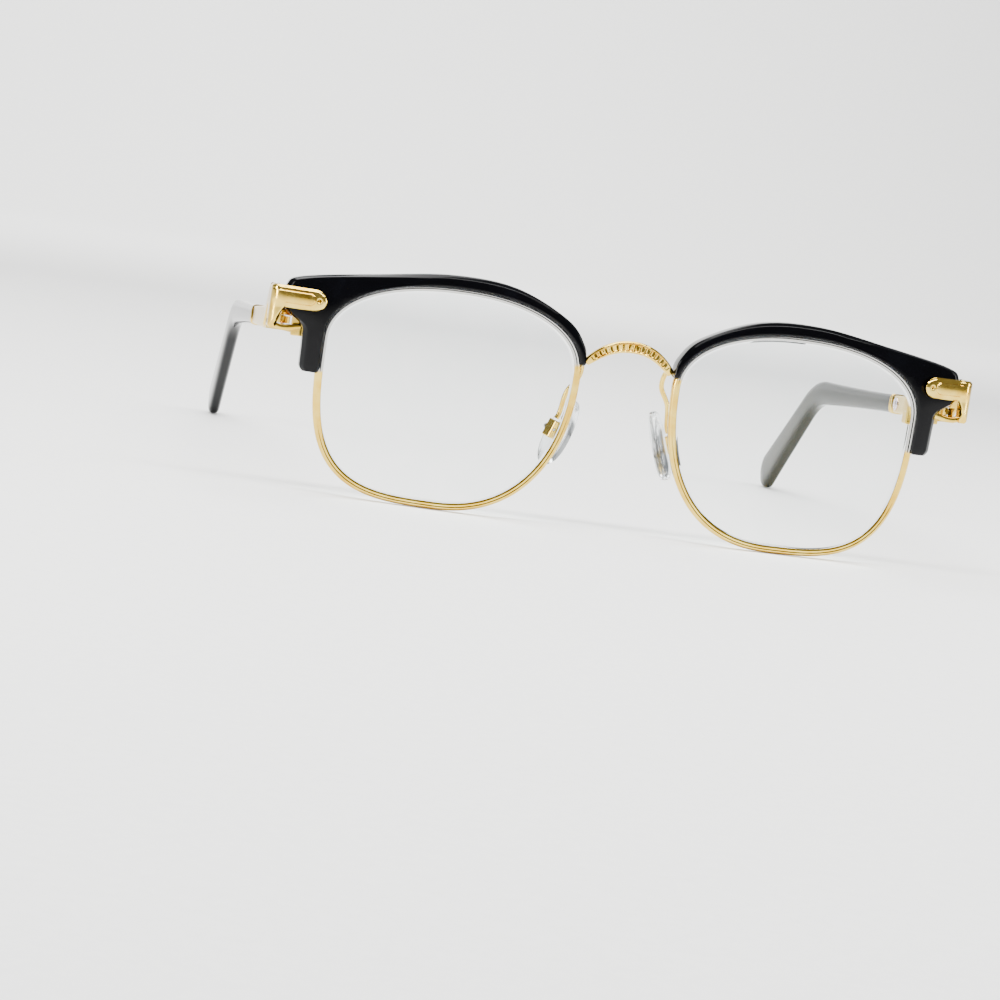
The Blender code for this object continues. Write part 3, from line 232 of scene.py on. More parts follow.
EVEN, ALONG_TEMPLE = (1, 1, 1), (1, 0.04, 1)
GOLD_TONES = [(0.3, "#D2A737"), (0.7, "#E6C866")]
polished_gold = gold_plating("polished_gold_plating", GOLD_TONES,
                             0.06, 0.13, 0.25, EVEN, 0.002 * MM)
# Level and slope of the line above which the eyewire gets its painted silver-grey highlight.
HIGHLIGHT_LEVEL, HIGHLIGHT_SLOPE = 33.8 * MM, 0.167     # the line between the brow's two lower ends
eyewire_gold_painted_highlight = paint_brow_edge_highlight(gold_plating("eyewire_gold_plating", GOLD_TONES, 0.08, 0.15, 0.25,
                                       EVEN, 0.002 * MM), HIGHLIGHT_LEVEL, HIGHLIGHT_SLOPE)
lapped_gold = gold_plating("lapped_gold_plating", [(0.3, "#DDBB66"), (0.7, "#EBD38C")],
                           0.14, 0.22, 0.12, ALONG_TEMPLE, 0.003 * MM)
screw_steel = gold_plating("turned_steel", [(0.3, "#B9BABD"), (0.7, "#D5D6DA")],
                           0.24, 0.34, 0.10, EVEN, 0.004 * MM)
stud_steel = gold_plating("polished_rose_steel", [(0.3, "#CFC3CC"), (0.7, "#E9DEE6")],
                          0.08, 0.14, 0.20, EVEN, 0.002 * MM)

# %% [markdown]
# ## Black cellulose acetate
# Acetate is cut from sheet and tumbled in barrels with wax until it shines, so it looks like
# deep black lacquer: a faint navy cloud inside, and a smooth surface that is slightly wavy where
# it was polished by hand. The index and the specular level are set a little under the resin's
# own, because a pale room would otherwise turn the black grey.

# %% Tumbled acetate
acetate, tree, shader, place = start_material("tumbled_black_acetate")
cloud = add(tree, "TexNoise", {"Vector": place, "Scale": per_metre(7), "Detail": 3.0})
haze = add(tree, "TexNoise", {"Vector": place, "Scale": per_metre(0.3), "Detail": 5.0})
wave = add(tree, "TexNoise", {"Vector": place, "Scale": per_metre(9), "Detail": 1.0})
gloss = add(tree, "MapRange", {"Value": haze.outputs["Fac"], "From Min": 0.35, "From Max": 0.7,
                               "To Min": 0.03, "To Max": 0.08})
relief = add(tree, "Bump", {"Height": wave.outputs["Fac"], "Strength": 0.25,
                            "Distance": 0.05 * MM})
tree.links.new(ramp(tree, cloud.outputs["Fac"], [(0.3, "#020203"), (0.6, "#030305"),
                                                 (0.8, "#06070B")]), shader.inputs["Base Color"])
tree.links.new(gloss.outputs[0], shader.inputs["Roughness"])
tree.links.new(relief.outputs[0], shader.inputs["Normal"])
shader.inputs["IOR"].default_value = 1.44
shader.inputs["Specular IOR Level"].default_value = 0.16
print("acetate ready")

# %% [markdown]
# ## Clear materials
# The lens is CR-39, a hard clear resin, with an anti-reflection coating: a film a few hundred
# nanometres thick that leaves less than a quarter of the bare resin's reflection, which is why
# the resin's index is set to 1.22 here and not to its own 1.5. The pads are clear silicone,
# softer to the light. Rays from lamps pass through both, so they cast only a faint shadow.

# %% Lens resin and pad silicone
def clear_solid(name, tones, ior, gloss_range, film, shade):
    """Glass-like body whose shadow rays meet a tinted Transparent shader instead."""
    material, tree, shader, place = start_material(name)
    smear = add(tree, "TexNoise", {"Vector": place, "Scale": per_metre(6), "Detail": 2.0})
    gloss = add(tree, "MapRange", {"Value": smear.outputs["Fac"], "From Min": 0.45,
                                   "From Max": 0.75, "To Min": gloss_range[0],
                                   "To Max": gloss_range[1]})
    tree.links.new(ramp(tree, smear.outputs["Fac"], tones), shader.inputs["Base Color"])
    tree.links.new(gloss.outputs[0], shader.inputs["Roughness"])
    for socket, value in (("IOR", ior), ("Transmission Weight", 1.0),
                          ("Thin Film Thickness", film), ("Thin Film IOR", 1.1)):
        shader.inputs[socket].default_value = value
    through = add(tree, "BsdfTransparent", {"Color": colour(shade)})
    lamp = add(tree, "LightPath").outputs["Is Shadow Ray"]
    mix = add(tree, "MixShader", {0: lamp, 1: shader.outputs[0], 2: through.outputs[0]})
    tree.links.new(mix.outputs[0], tree.nodes["Material Output"].inputs["Surface"])
    return material


lens_resin = clear_solid("coated_lens_resin", [(0.4, "#F9FCFC"), (0.7, "#FDFEFE")], 1.22,
                         (0.0, 0.02), 300.0, "#F0F4F4")
silicone = clear_solid("clear_silicone", [(0.4, "#EDF2F5"), (0.7, "#F7FAFB")], 1.41,
                       (0.08, 0.2), 0.0, "#C9CDD0")
print("clear materials ready")

# %% [markdown]
# ## Drawing with arrays
# Three tools make every piece. One rounds the corners of a closed outline, for sections such as
# a bar's. One draws a smooth line through a few points, for edges and bent wires. One skins a
# grid of points: its rows run along the piece and its columns go round it.

# %% Outlines, lines and skins
def unit(vectors):
    """Each vector divided by its length."""
    return vectors / np.linalg.norm(vectors, axis=-1, keepdims=True)


def rounded(corners, radii, steps=5):
    """Rounds a closed outline: near corner C it is (1-t)^2 A + 2t(1-t) C + t^2 B, with A and B
    on the two sides of C, a radius away from it."""
    reach = np.asarray(radii, float)[..., None]
    start = corners + unit(np.roll(corners, 1, axis=-2) - corners) * reach
    end = corners + unit(np.roll(corners, -1, axis=-2) - corners) * reach
    t = np.linspace(0, 1, steps)[:, None]
    start, end, corner = start[..., None, :], end[..., None, :], corners[..., None, :]
    line = (1 - t) ** 2 * start + 2 * t * (1 - t) * corner + t ** 2 * end
    return line.reshape(*corners.shape[:-2], -1, 2)


def smooth_line(points, steps):
    """Catmull-Rom line: between b and c of four neighbours a, b, c, d it is half of
    2b + (c-a)t + (2a-5b+4c-d)t^2 + (3b-a-3c+d)t^3."""
    p = np.vstack([2 * points[0] - points[1], points, 2 * points[-1] - points[-2]])
    a, b, c, d = (p[k:len(p) - 3 + k, None] for k in range(4))
    t = (np.arange(steps) / steps)[:, None]
    line = (2 * b + (c - a) * t + (2 * a - 5 * b + 4 * c - d) * t ** 2
            + (3 * b - a - 3 * c + d) * t ** 3) / 2
    return np.vstack([line.reshape(-1, points.shape[1]), points[-1:]])


def skin(name, grid, loop=False):
    """Closed mesh over a grid of points. Its volume, a third of the sum of each face's centre
    dot its area vector, tells which way the faces look, and they are turned if it is negative."""
    rows, cols = grid.shape[:2]
    low = np.arange(rows if loop else rows - 1)[:, None] * cols
    high = (low + cols) % (rows * cols)
    here = np.arange(cols)[None]
    there = (here + 1) % cols
    quads = np.stack([low + here, low + there, high + there, high + here], -1).reshape(-1, 4)
    ends = [] if loop else [np.arange(cols)[::-1], np.arange(cols) + (rows - 1) * cols]
    points = grid.reshape(-1, 3)
    a, b, c, d = (points[quads[:, k]] - points.mean(0) for k in range(4))
    volume = np.einsum("ij,ij->", (a + b + c + d) / 4, np.cross(c - a, d - b) / 2) / 3
    if volume < 0:
        quads, ends = quads[:, ::-1], [end[::-1] for end in ends]
    mesh = bpy.data.meshes.new(name)
    mesh.from_pydata(points.tolist(), [], quads.tolist() + [end.tolist() for end in ends])
    mesh.shade_smooth()
    mesh.set_sharp_from_angle(angle=math.radians(38))
    piece = bpy.data.objects.new(name, mesh)
    bpy.context.scene.collection.objects.link(piece)
    return piece


def dress(piece, body, slot, material, *nodes):
    """Gives a piece its finish, the body it moves with and the CAD nodes that it stands for."""
    piece.data.materials.append(material)
    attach(piece, body)
    if nodes:
        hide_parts(*nodes)
    print(piece.name, len(piece.data.polygons), "faces")


def mirror(grid, side):
    """The same points on the given side of the nose."""
    return grid * np.array([side, 1.0, 1.0])


def wire(line, radius, around=24):
    """Round wire: circle of the radius in the plane square to the line, kept from twisting by
    taking each point's sideways direction square to one fixed direction."""
    run = unit(np.gradient(line, axis=0))
    across = unit(np.cross(run, np.array([0.3, 0.9, 0.1])))
    other = np.cross(run, across)
    turn = np.linspace(0, 2 * np.pi, around, endpoint=False)[:, None]
    ring = across[:, None] * np.cos(turn) + other[:, None] * np.sin(turn)
    return line[:, None] + ring * np.broadcast_to(radius, len(line))[:, None, None]


# %% [markdown]
# ## The rim's outline
# A lens shape is never a plain ellipse: it is squarer low at the temple and rounder at the nose.
# Four quarters of superellipses share their end points, so the line is smooth all the way round.

# %% Rim outline
POWERS = {"brow_out": 2.2, "brow_in": 2.2, "low_in": 2.3, "low_out": 3.2}


def rim_line(angle):
    """Outer edge at an angle from the widest temporal point: |x/a|^n + |z/b|^n = 1, with the
    half widths a, b and the power n of the quarter that the angle is in."""
    c, s = np.cos(angle), np.sin(angle)
    out, brow = c >= 0, s >= 0
    power = np.select([out & brow, brow, out], [POWERS["brow_out"], POWERS["brow_in"],
                                                POWERS["low_out"]], POWERS["low_in"])
    reach = np.where(out, RIM_TEMPORAL - CROWN_X, CROWN_X - RIM_NASAL)
    rise = np.where(brow, LENS_HEIGHT - POLE_Z, POLE_Z)
    scale = (np.abs(c) ** power + np.abs(s) ** power) ** (-1 / power)
    return np.stack([CROWN_X + reach * c * scale, POLE_Z + rise * s * scale], -1)


def rim_out(angle):
    """Outward direction: the line's own direction turned a quarter."""
    run = rim_line(angle + 0.002) - rim_line(angle - 0.002)
    return unit(np.stack([run[..., 1], -run[..., 0]], -1))


def rim_offset(angle, distance):
    return rim_line(angle) + rim_out(angle) * distance


def even_angles(count):
    """Angles of points evenly spaced along the rim, found on a fine line of 2000 points."""
    fine = np.linspace(0, 2 * np.pi, 2001)
    steps = np.linalg.norm(np.diff(rim_line(fine), axis=0), axis=1)
    length = np.concatenate([[0], np.cumsum(steps)])
    return np.interp(np.linspace(0, length[-1], count, endpoint=False), length, fine)


print("rim line %.1f mm round" % (np.linalg.norm(
    np.diff(rim_line(np.linspace(0, 2 * np.pi, 721)), axis=0), axis=1).sum() / MM))

# %% [markdown]
# ## Eyewires
# Eyewire is rolled as a gold-plated strip with a groove for the lens and bent round a former.
# Its front has two beads with a shallow hollow between them, which is why it shows as two bright
# lines. The section is drawn once, its corners rounded, and carried round the rim's outline. Under
# the brow a silver-grey is painted on the plating: a painted highlight for the bright line of
# light along the brow's inner edge.

# %% Eyewires
RIM_SECTION = np.array([(0, -.45), (-.42, -.9), (-.62, -.9), (-.86, -.72), (-1.1, -.8),
                        (-1.5, -.56), (-1.5, -.45), (-.72, 0), (-1.5, .5), (-1.5, .68),
                        (-1.12, .9), (-.35, .9), (0, .55)]) * MM
RIM_ROUNDING = np.array([.2, .09, .09, .1, .1, .05, .05, .1, .08, .08, .17, .2, .2]) * MM
angles = even_angles(256)
section = rounded(RIM_SECTION, RIM_ROUNDING)
plan = rim_line(angles)[:, None] + rim_out(angles)[:, None] * section[None, :, :1]
eyewire = on_front(plan, section[:, 1])
# The eyewires carry the painted silver-grey highlight where the brow covers them.
for word, side in SIDES:
    dress(skin(f"eyewire_fine_{word}", mirror(eyewire, side), loop=True), "front", "gold_metal",
          eyewire_gold_painted_highlight, f"eyewire_{word}")

# %% [markdown]
# ## Lenses
# A lens blank is cut to the rim's shape with a V bevel round its edge that stands in the groove.
# Rings run from the middle of the front face out to the bevel and back in over the rear face.

# %% Lenses
THICK = 1.4 * MM
shares = np.sin(np.linspace(0.03, 1, 28) * np.pi / 2)
face, tip = -1.8 * MM, -1.02 * MM
centre = np.array([LENS_X, LENS_Z])
edge = rim_offset(even_angles(192), face)
disc = centre + (edge - centre) * shares[:, None, None]
bevel = rim_offset(even_angles(192), tip)[None]
lens = np.concatenate([on_front(disc, -THICK / 2), on_front(bevel, 0.0),
                       on_front(disc[::-1], THICK / 2)])
for word, side in SIDES:
    dress(skin(f"lens_fine_{word}", mirror(lens, side)), "front", "clear_lens", lens_resin,
          f"lens_{word}")

# %% [markdown]
# ## Brows
# The brow is one bar of acetate per side, milled and tumbled. A thin lip hangs in front of the
# eyewire, the body sits on top of it, and at the temple it widens into a corner with a short leg.
# Flat bevels run along both front edges, where the polish shows as a bright line.
# Its edge is a smooth line through twelve points, each tied to an angle on the rim.

# %% Brow outline
LEG_X, LEG_DROP = RIM_TEMPORAL + 3.4 * MM, 6.7 * MM
corner_x, corner_z = RIM_TEMPORAL + CORNER[0], POLE_Z + CORNER[1]
nose_rise, rise = 0.55 * MM, 2.0 * MM
brow_angles = np.radians([172, 158, 140, 112, 85, 62, 38, 28, 17, 9, 2, -12.5])
outer_points = np.vstack([
    rim_offset(brow_angles[:5], np.array([[nose_rise], [rise * .6], [rise * .75], [rise],
                                          [rise]])),
    np.array([(corner_x - 17 * MM, corner_z + 2.9 * MM), (corner_x - 3.4 * MM, corner_z + .5 * MM),
              (corner_x - .35 * MM, corner_z - 1.6 * MM), (corner_x - .5 * MM, corner_z - 6 * MM),
              (LEG_X + .5 * MM, corner_z - 8.8 * MM), (LEG_X, POLE_Z - .2 * MM),
              (LEG_X - .2 * MM, POLE_Z - LEG_DROP)])])
STEPS = 18
brow_outer = smooth_line(outer_points, STEPS)
inner_angles = np.interp(np.arange(len(brow_outer)) / STEPS, np.arange(12), brow_angles)


def brow_inner(distance):
    """Rim line offset by a distance, its last point level with the end of the leg."""
    line = rim_offset(inner_angles, distance)
    line[-1, 1] = POLE_Z - LEG_DROP
    return line


print("brow line of", len(brow_outer), "points")

# %% Brow solids
LIP, FRONT, SHELF, BACK = 0.8 * MM, -2.6 * MM, -1.2 * MM, 1.3 * MM
lip_line, seat_line = brow_inner(-LIP), brow_inner(0.3 * MM)
broad = np.linalg.norm(brow_outer - lip_line, axis=1)
seat = broad - np.linalg.norm(brow_outer - seat_line, axis=1)
zero = np.zeros_like(broad)
bevel = np.minimum(0.85 * MM, (broad - seat) * 0.4)
corners = np.stack([
    np.stack([zero + 0.12 * MM, zero + SHELF], -1), np.stack([zero, zero + FRONT + 0.75 * MM], -1),
    np.stack([zero + 0.6 * MM, zero + FRONT], -1), np.stack([broad - bevel, zero + FRONT], -1),
    np.stack([broad, zero + FRONT + bevel], -1), np.stack([broad, zero + BACK], -1),
    np.stack([seat, zero + BACK], -1), np.stack([seat, zero + SHELF], -1)], 1)
soft = zero + 0.16 * MM
radii = np.stack([zero + .1 * MM, soft, soft, 1.3 * soft, 1.3 * soft, 0.8 * bevel, zero + .1 * MM,
                  zero + .1 * MM], 1)
section = rounded(corners, radii, 6)
across = unit(brow_outer - lip_line)
shift = np.concatenate([[0.45, 0.2, 0.06], np.zeros(len(across) - 6), [0.06, 0.2, 0.45]]) * MM
middle = section.mean(1, keepdims=True)
shrink = 1 - shift[:, None, None] / (0.5 * np.minimum(broad, 3 * MM))[:, None, None]
section = middle + (section - middle) * shrink
plan = lip_line[:, None] + across[:, None] * section[..., :1]
brow = on_front(plan, section[..., 1])
for word, side in SIDES:
    dress(skin(f"brow_fine_{word}", mirror(brow, side)), "front", "black_acetate", acetate,
          f"brow_{word}")

# %% [markdown]
# ## Bridge
# The bridge is a stamped gold arch with a plain border above and below and a row of milled
# notches between them. The section is a superellipse, and the notches are pressed into its front
# as a cosine along the arch, faded out near the borders and the ends.

# %% Bridge
end_x, end_z = RIM_NASAL - 0.65 * MM, POLE_Z + 2.7 * MM
end_y = FRONT_Y + dish(RIM_NASAL, end_z)
t = np.linspace(-1, 1, 401)
arch = 1 - np.abs(t) ** 2.2
slope = -2.2 * 4.2 * MM * np.abs(t) ** 1.2 * np.sign(t) / end_x
line = np.stack([end_x * t, end_y - 1.6 * MM * arch, end_z + 4.2 * MM * arch], -1)
upward = unit(np.stack([-slope, 0 * t, 1 + 0 * t], -1))
tall = (1.35 + 1.0 * arch ** 0.7) * MM / 2
turn = np.linspace(0, 2 * np.pi, 73)[:-1]
back = np.sign(np.cos(turn)) * np.abs(np.cos(turn)) ** 0.5 * 0.95 * MM
lift = np.sign(np.sin(turn)) * np.abs(np.sin(turn)) ** 0.5
travel = np.concatenate([[0], np.cumsum(np.linalg.norm(np.diff(line, axis=0), axis=1))])
NOTCH = 1.15 * MM
notches = 0.5 - 0.5 * np.cos(2 * np.pi * (travel - travel.mean()) / NOTCH)
fade = np.clip((0.9 - np.abs(t)) / 0.12, 0, 1)
field = np.clip((0.60 - np.abs(lift)) / 0.12, 0, 1) * (np.cos(turn) < 0)
pressed = (0.22 + 0.34 * notches ** 0.7)[:, None] * fade[:, None] * field[None] * MM
bridge = (line[:, None] + np.array([0, 1, 0]) * (back + pressed)[..., None]
          + upward[:, None] * (lift[None] * tall[:, None])[..., None])
dress(skin("bridge_fine", bridge), "front", "gold_metal", polished_gold, "bridge")

# %% [markdown]
# ## Shields and endpieces
# A round-nosed gold plate sits on the corner of each brow. It has a bevelled edge and a raised
# field, and it wraps round the end into a wall that comes down to the hinge. Height is drawn as a
# function over the plate: how far a point is inside the outline decides its bevel and its field.

# %% Shields
HALF, NOSE, PLATE = 2.1 * MM, 2.5 * MM, 0.45 * MM
nose_x, flat_end, bend = OUTER_X - 10.6 * MM, OUTER_X - 2.7 * MM, 1.3 * MM
shield_z = POLE_Z + SHIELD_RISE
WALL, FLANGE, DROP = 1.4 * MM, 2.9 * MM, 4.4 * MM
flat = np.linspace(0, 1, 90) ** 1.3 * (flat_end - nose_x) + 0.01 * MM
quarter = np.linspace(0, np.pi / 2, 22)[1:]
straight = np.linspace(0, 1, 16)[1:]
base_y = FRONT_Y + dish(nose_x + flat, shield_z) - 2.9 * MM
hub = np.array([flat_end, base_y[-1] + bend])
spine = np.concatenate([np.stack([nose_x + flat, base_y], -1),
                        hub + bend * np.stack([np.sin(quarter), -np.cos(quarter)], -1),
                        hub + np.stack([bend + 0 * straight, FLANGE * straight], -1)])
outward = np.concatenate([np.tile([0.0, -1.0], (len(flat), 1)),
                          np.stack([np.sin(quarter), -np.cos(quarter)], -1),
                          np.tile([1.0, 0.0], (len(straight), 1))])
along = np.concatenate([[0], np.cumsum(np.linalg.norm(np.diff(spine, axis=0), axis=1))])
round_nose = np.clip((NOSE - along) / NOSE, 0, 0.9999)
high = HALF * np.sqrt(1 - round_nose ** 2)
turned = np.clip((along - (flat_end - nose_x)) / (2.0 * MM), 0, 1)
low = high + DROP * turned ** 2 * (3 - 2 * turned)
extra = np.clip((along - (flat_end - nose_x)) / (2.0 * MM), 0, 1) * (WALL - 0.9 * MM)
spread = np.sin(np.linspace(-np.pi / 2, np.pi / 2, 57))[None]
upright = np.where(spread > 0, spread * high[:, None], spread * low[:, None])
inside = HALF * (1 - np.sqrt(round_nose[:, None] ** 2 + (upright / HALF) ** 2))
inside = np.where(upright < 0, np.minimum(inside + (low - high)[:, None], HALF), inside)
edge_bevel = np.clip(inside / (0.55 * MM), 0, 1)
field_start = 2.2 * MM
pill = np.hypot(np.clip(field_start + 1.2 * MM - along, 0, None)[:, None], upright)
pill_edge = np.clip((1.25 * MM - pill) / (0.22 * MM), 0, 1) * (1 - turned[:, None])
dimple = np.clip(1 - np.hypot(along[:, None] - 1.45 * MM, upright) / (0.55 * MM), 0, 1)
height = (PLATE + 0.45 * MM * np.sin(edge_bevel * np.pi / 2) + extra[:, None]
          + 0.38 * MM * pill_edge ** 2 * (3 - 2 * pill_edge)
          + 0.14 * MM * np.clip(1 - (upright / HALF) ** 2, 0, 1) * (1 - turned[:, None])
          - 0.5 * MM * dimple ** 2 * (3 - 2 * dimple))
cone = np.hypot(along[:, None] - along[-1] + 1.5 * MM, upright + low[:, None] - 1.55 * MM)
height = height - 0.75 * MM * np.clip((0.85 * MM - cone) / (0.12 * MM), 0, 1)
ring_high = np.concatenate([0 * high[:, None], height, 0 * high[:, None]], 1)
ring_up = np.concatenate([upright[:, :1], upright, upright[:, -1:]], 1)
shield = np.stack([spine[:, :1] + outward[:, :1] * ring_high,
                   spine[:, 1:] + outward[:, 1:] * ring_high, shield_z + ring_up], -1)
for word, side in SIDES:
    dress(skin(f"shield_fine_{word}", mirror(shield, side)), "front", "gold_metal",
          polished_gold, f"shield_{word}")

# %% [markdown]
# ## Feet of the endpieces
# Below each shield a short gold foot runs in from the wall to the brow's leg. It is a rounded
# bar carried along a line that dips a little in the middle.

# %% Endpiece feet
foot_line = smooth_line(np.array([(OUTER_X - 0.9 * MM, 0.8), (OUTER_X - 3.2 * MM, 0.3),
                                  (LEG_X + 0.4 * MM, 0.9)]) * np.array([1, MM]), 12)
foot_y = spine[-1, 1] - 1.6 * MM
bar = rounded(np.array([(-1, -1), (1, -1), (1, 1), (-1, 1)]) * np.array([1.1, 0.55]) * MM,
              [0.35 * MM] * 4)
foot_z = shield_z - HALF - DROP + foot_line[:, 1]
foot = np.stack([np.broadcast_to(foot_line[:, :1], (len(foot_line), len(bar))),
                 np.broadcast_to(foot_y + bar[:, 0], (len(foot_line), len(bar))),
                 foot_z[:, None] + bar[:, 1]], -1)
for word, side in SIDES:
    dress(skin(f"endpiece_foot_{word}", mirror(foot, side)), "front", "gold_metal",
          polished_gold)

# %% [markdown]
# ## Nose pads and their arms
# The pad is moulded in clear silicone as a plump drop, flat towards the nose and domed behind. It
# is stacked from outlines that shrink as they leave the middle. The arm is one bent gold wire
# from the back of the eyewire, out over the nose and down to the box that holds the pad.

# %% Axes of a pad
FLARE, SPLAY = math.radians(20), math.radians(24)
long_axis = np.array([math.sin(FLARE), 0, -math.cos(FLARE)])
back_axis = np.array([math.sin(SPLAY), math.cos(SPLAY), 0])
back_axis = unit(back_axis - long_axis * (back_axis @ long_axis))
nose_axis = np.cross(long_axis, back_axis)
nose_axis = nose_axis * -np.sign(nose_axis[0])
pad_low, pad_high = (np.array(corner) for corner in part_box("nose_pad_left"))
pad_centre = np.array([10.4 * MM, FRONT_Y + 8.4 * MM, 18.0 * MM])
print("middle of the frame's pad", ((pad_low + pad_high) / 2 / MM).round(1))
print("middle of the drawn pad", (pad_centre / MM).round(1))

# %% Nose pads
layer = np.sin(np.linspace(-np.pi / 2, np.pi / 2, 31))[:, None]
grow = np.where(layer < 0, -2.3 * MM * np.abs(layer) ** 4, -1.15 * MM * np.abs(layer) ** 5)
turn = np.linspace(0, 2 * np.pi, 97)[:-1][None]
lengthwise = np.cos(turn) * (7.0 * MM + grow)
crosswise = np.sin(turn) * (3.7 * MM + grow) * (1 + 0.14 * np.cos(turn))
pad = (pad_centre + lengthwise[..., None] * long_axis + crosswise[..., None] * back_axis
       + (layer * 1.2 * MM + 0 * turn)[..., None] * nose_axis)
for word, side in SIDES:
    dress(skin(f"nose_pad_fine_{word}", mirror(pad, side)), f"pad_{word}", "clear_silicone",
          silicone, f"nose_pad_{word}")

# %% Pad arms
top = POLE_Z + 2.4 * MM
rim_back = FRONT_Y + dish(RIM_NASAL, top) + 1.8 * MM
box_centre = pad_centre - nose_axis * 2.1 * MM
target = box_centre - long_axis * 2.2 * MM
controls = np.array([
    (RIM_NASAL + 0.75 * MM, rim_back, top),
    (RIM_NASAL - 0.2 * MM, rim_back + 0.9 * MM, top + 0.7 * MM),
    (RIM_NASAL - 0.8 * MM, rim_back + 2.6 * MM, top - 0.2 * MM),
    (RIM_NASAL - 0.8 * MM, rim_back + 4.0 * MM, top - 3.0 * MM),
    (RIM_NASAL + 1.1 * MM, FRONT_Y + 7.0 * MM, top - 6.4 * MM),
    target - long_axis * 1.5 * MM, target])
arm_line = smooth_line(controls, 16)
arm = wire(arm_line, 0.5 * MM)
for word, side in SIDES:
    dress(skin(f"pad_arm_fine_{word}", mirror(arm, side)), "front", "gold_metal", polished_gold,
          f"pad_arm_{word}")

# %% [markdown]
# ## Along the temple
# A temple is laid out by how far it has come from the hinge. It runs straight, three degrees
# below level, then bends down behind the ear and ends in a paddle. One function turns a distance
# along it, with a place across the section, into a point, so bar, ferrule and tip stay in line.

# %% Temple centre line
DROP_ANGLE, BEND, BEND_RADIUS = math.radians(3), math.radians(30), 30 * MM
STRAIGHT, MIDDLE = 93 * MM, 1.9 * MM
BAR_START, BAR_END, TIP_START = 3.2 * MM, 34.9 * MM, 37.5 * MM
ARC = BEND_RADIUS * BEND


def temple(along, out, up):
    """Arc of a circle between two straight runs: the slope grows from the first angle by
    distance over radius, and the point is moved square to that slope by up."""
    turned = np.clip(along - STRAIGHT, 0, ARC) / BEND_RADIUS
    slope = DROP_ANGLE + turned
    first, last = np.minimum(along, STRAIGHT), np.clip(along - STRAIGHT - ARC, 0, None)
    back = (first * math.cos(DROP_ANGLE) + BEND_RADIUS * (np.sin(slope) - math.sin(DROP_ANGLE))
            + last * np.cos(slope))
    fall = (first * math.sin(DROP_ANGLE) + BEND_RADIUS * (math.cos(DROP_ANGLE) - np.cos(slope))
            + last * np.sin(slope))
    y = HINGE[1] + back + up * np.sin(slope)
    z = HINGE[2] - fall + up * np.cos(slope)
    return np.stack(np.broadcast_arrays(HINGE[0] + out, y, z), -1)


print("bend starts", (temple(np.array(STRAIGHT), MIDDLE, 0.0) / MM).round(1))

# %% [markdown]
# ## Temple bars
# Each bar is a tapering gold strip that holds the spring hinge. Its inner face has an open slot
# with a round end, where the hinge's tongue slides. The slot is a pill-shaped mask that pushes
# the inner face into the bar, on a grid that is finest round the pill's edge.

# %% Temple bars
SLOT_END, SLOT_HALF, SLOT_DEEP = 14.2 * MM, 1.3 * MM, 2.0 * MM
stations = np.unique(np.concatenate([
    np.linspace(3.2, 4.1, 10), np.linspace(4.5, 12.4, 16), np.linspace(12.6, 14.6, 41),
    np.linspace(15, 34.6, 40), np.linspace(34.7, 34.9, 4)])) * MM
half_up = np.interp(stations, [BAR_START, BAR_END], [2.2 * MM, 1.8 * MM])[:, None]
face_up = np.unique(np.concatenate([np.linspace(-1, 1, 21) * 1.2, np.linspace(1.2, 1.42, 8),
                                    -np.linspace(1.2, 1.42, 8)]))[::-1] * MM
round_up = rounded(np.array([(-1, -1), (1, -1), (1, 1), (-1, 1)]) * np.array([1.3, 1.0]) * MM,
                   [0.4 * MM] * 4, 9)
outer_x = np.concatenate([round_up[:, 0], np.full(len(face_up), -1.3 * MM)])[None]
level = np.concatenate([np.sign(round_up[:, 1]) * (np.abs(round_up[:, 1]) - 1.0 * MM), face_up])
hang = np.concatenate([np.sign(round_up[:, 1]), 0 * face_up])
height = level[None] + hang[None] * half_up
relief = np.clip(0.8 * MM - (stations - BAR_START), 0, None)[:, None]
out = np.where(outer_x > 0, outer_x - relief * np.clip(outer_x / (1.3 * MM), 0, 1), outer_x)
from_end = np.hypot(np.clip(stations - SLOT_END + SLOT_HALF, 0, None)[:, None], height)
inner = (outer_x < -1.29 * MM) & (np.abs(height) < half_up - 0.45 * MM)
depth = SLOT_DEEP * np.clip((SLOT_HALF - from_end) / (0.07 * MM), 0, 1) * inner
bar = temple(stations[:, None], MIDDLE + out + depth, height)
for word, side in SIDES:
    dress(skin(f"temple_bar_fine_{word}", mirror(bar, side)), f"temple_{word}", "gold_metal",
          lapped_gold, f"temple_bar_{word}")

# %% [markdown]
# ## Ferrules, studs and tips
# A stepped ring covers the joint from metal to acetate, and a plain domed stud sits just ahead
# of it. The tip is acetate heated and bent over its core wire. It grows into a paddle at the end.
# Section and outline are both superellipses, so the long edges catch one clean highlight.

# %% Ferrules
share = np.linspace(0, 1, 61)
proud = np.interp(share, [0, .05, .12, .34, .42, .48, .56, .62, .68, .9, .96, 1],
                  [-.2, .8, 1, 1, .7, -.1, -.1, .7, 1, 1, .7, -.2])[:, None] * 0.25 * MM
turn = np.linspace(0, 2 * np.pi, 65)[:-1][None]
cx, sx = np.cos(turn), np.sin(turn)
wide = np.sign(cx) * np.abs(cx) ** 0.55 * (1.4 * MM + proud)
tall = np.sign(sx) * np.abs(sx) ** 0.55 * (1.9 * MM + proud)
ferrule = temple((BAR_END + 0.12 * MM + share * 2.3 * MM)[:, None], MIDDLE + wide, tall)
for word, side in SIDES:
    dress(skin(f"ferrule_fine_{word}", mirror(ferrule, side)), f"temple_{word}", "gold_metal",
          polished_gold, f"ferrule_{word}")

# %% Studs
profile = smooth_line(np.array([(1.4, -0.03), (1.4, 0.12), (1.3, 0.24), (1.12, 0.26), (1.05, 0.17),
                                (0.95, 0.17), (0.86, 0.3), (0.5, 0.4), (0.02, 0.43)]), 8) * MM
stud_at = BAR_END - 1.9 * MM
stud = temple(stud_at + profile[:, :1] * cx, 0.6 * MM - profile[:, 1:], profile[:, :1] * sx)
for word, side in SIDES:
    dress(skin(f"stud_fine_{word}", mirror(stud, side)), f"temple_{word}", "polished_stud",
          stud_steel, f"stud_{word}")

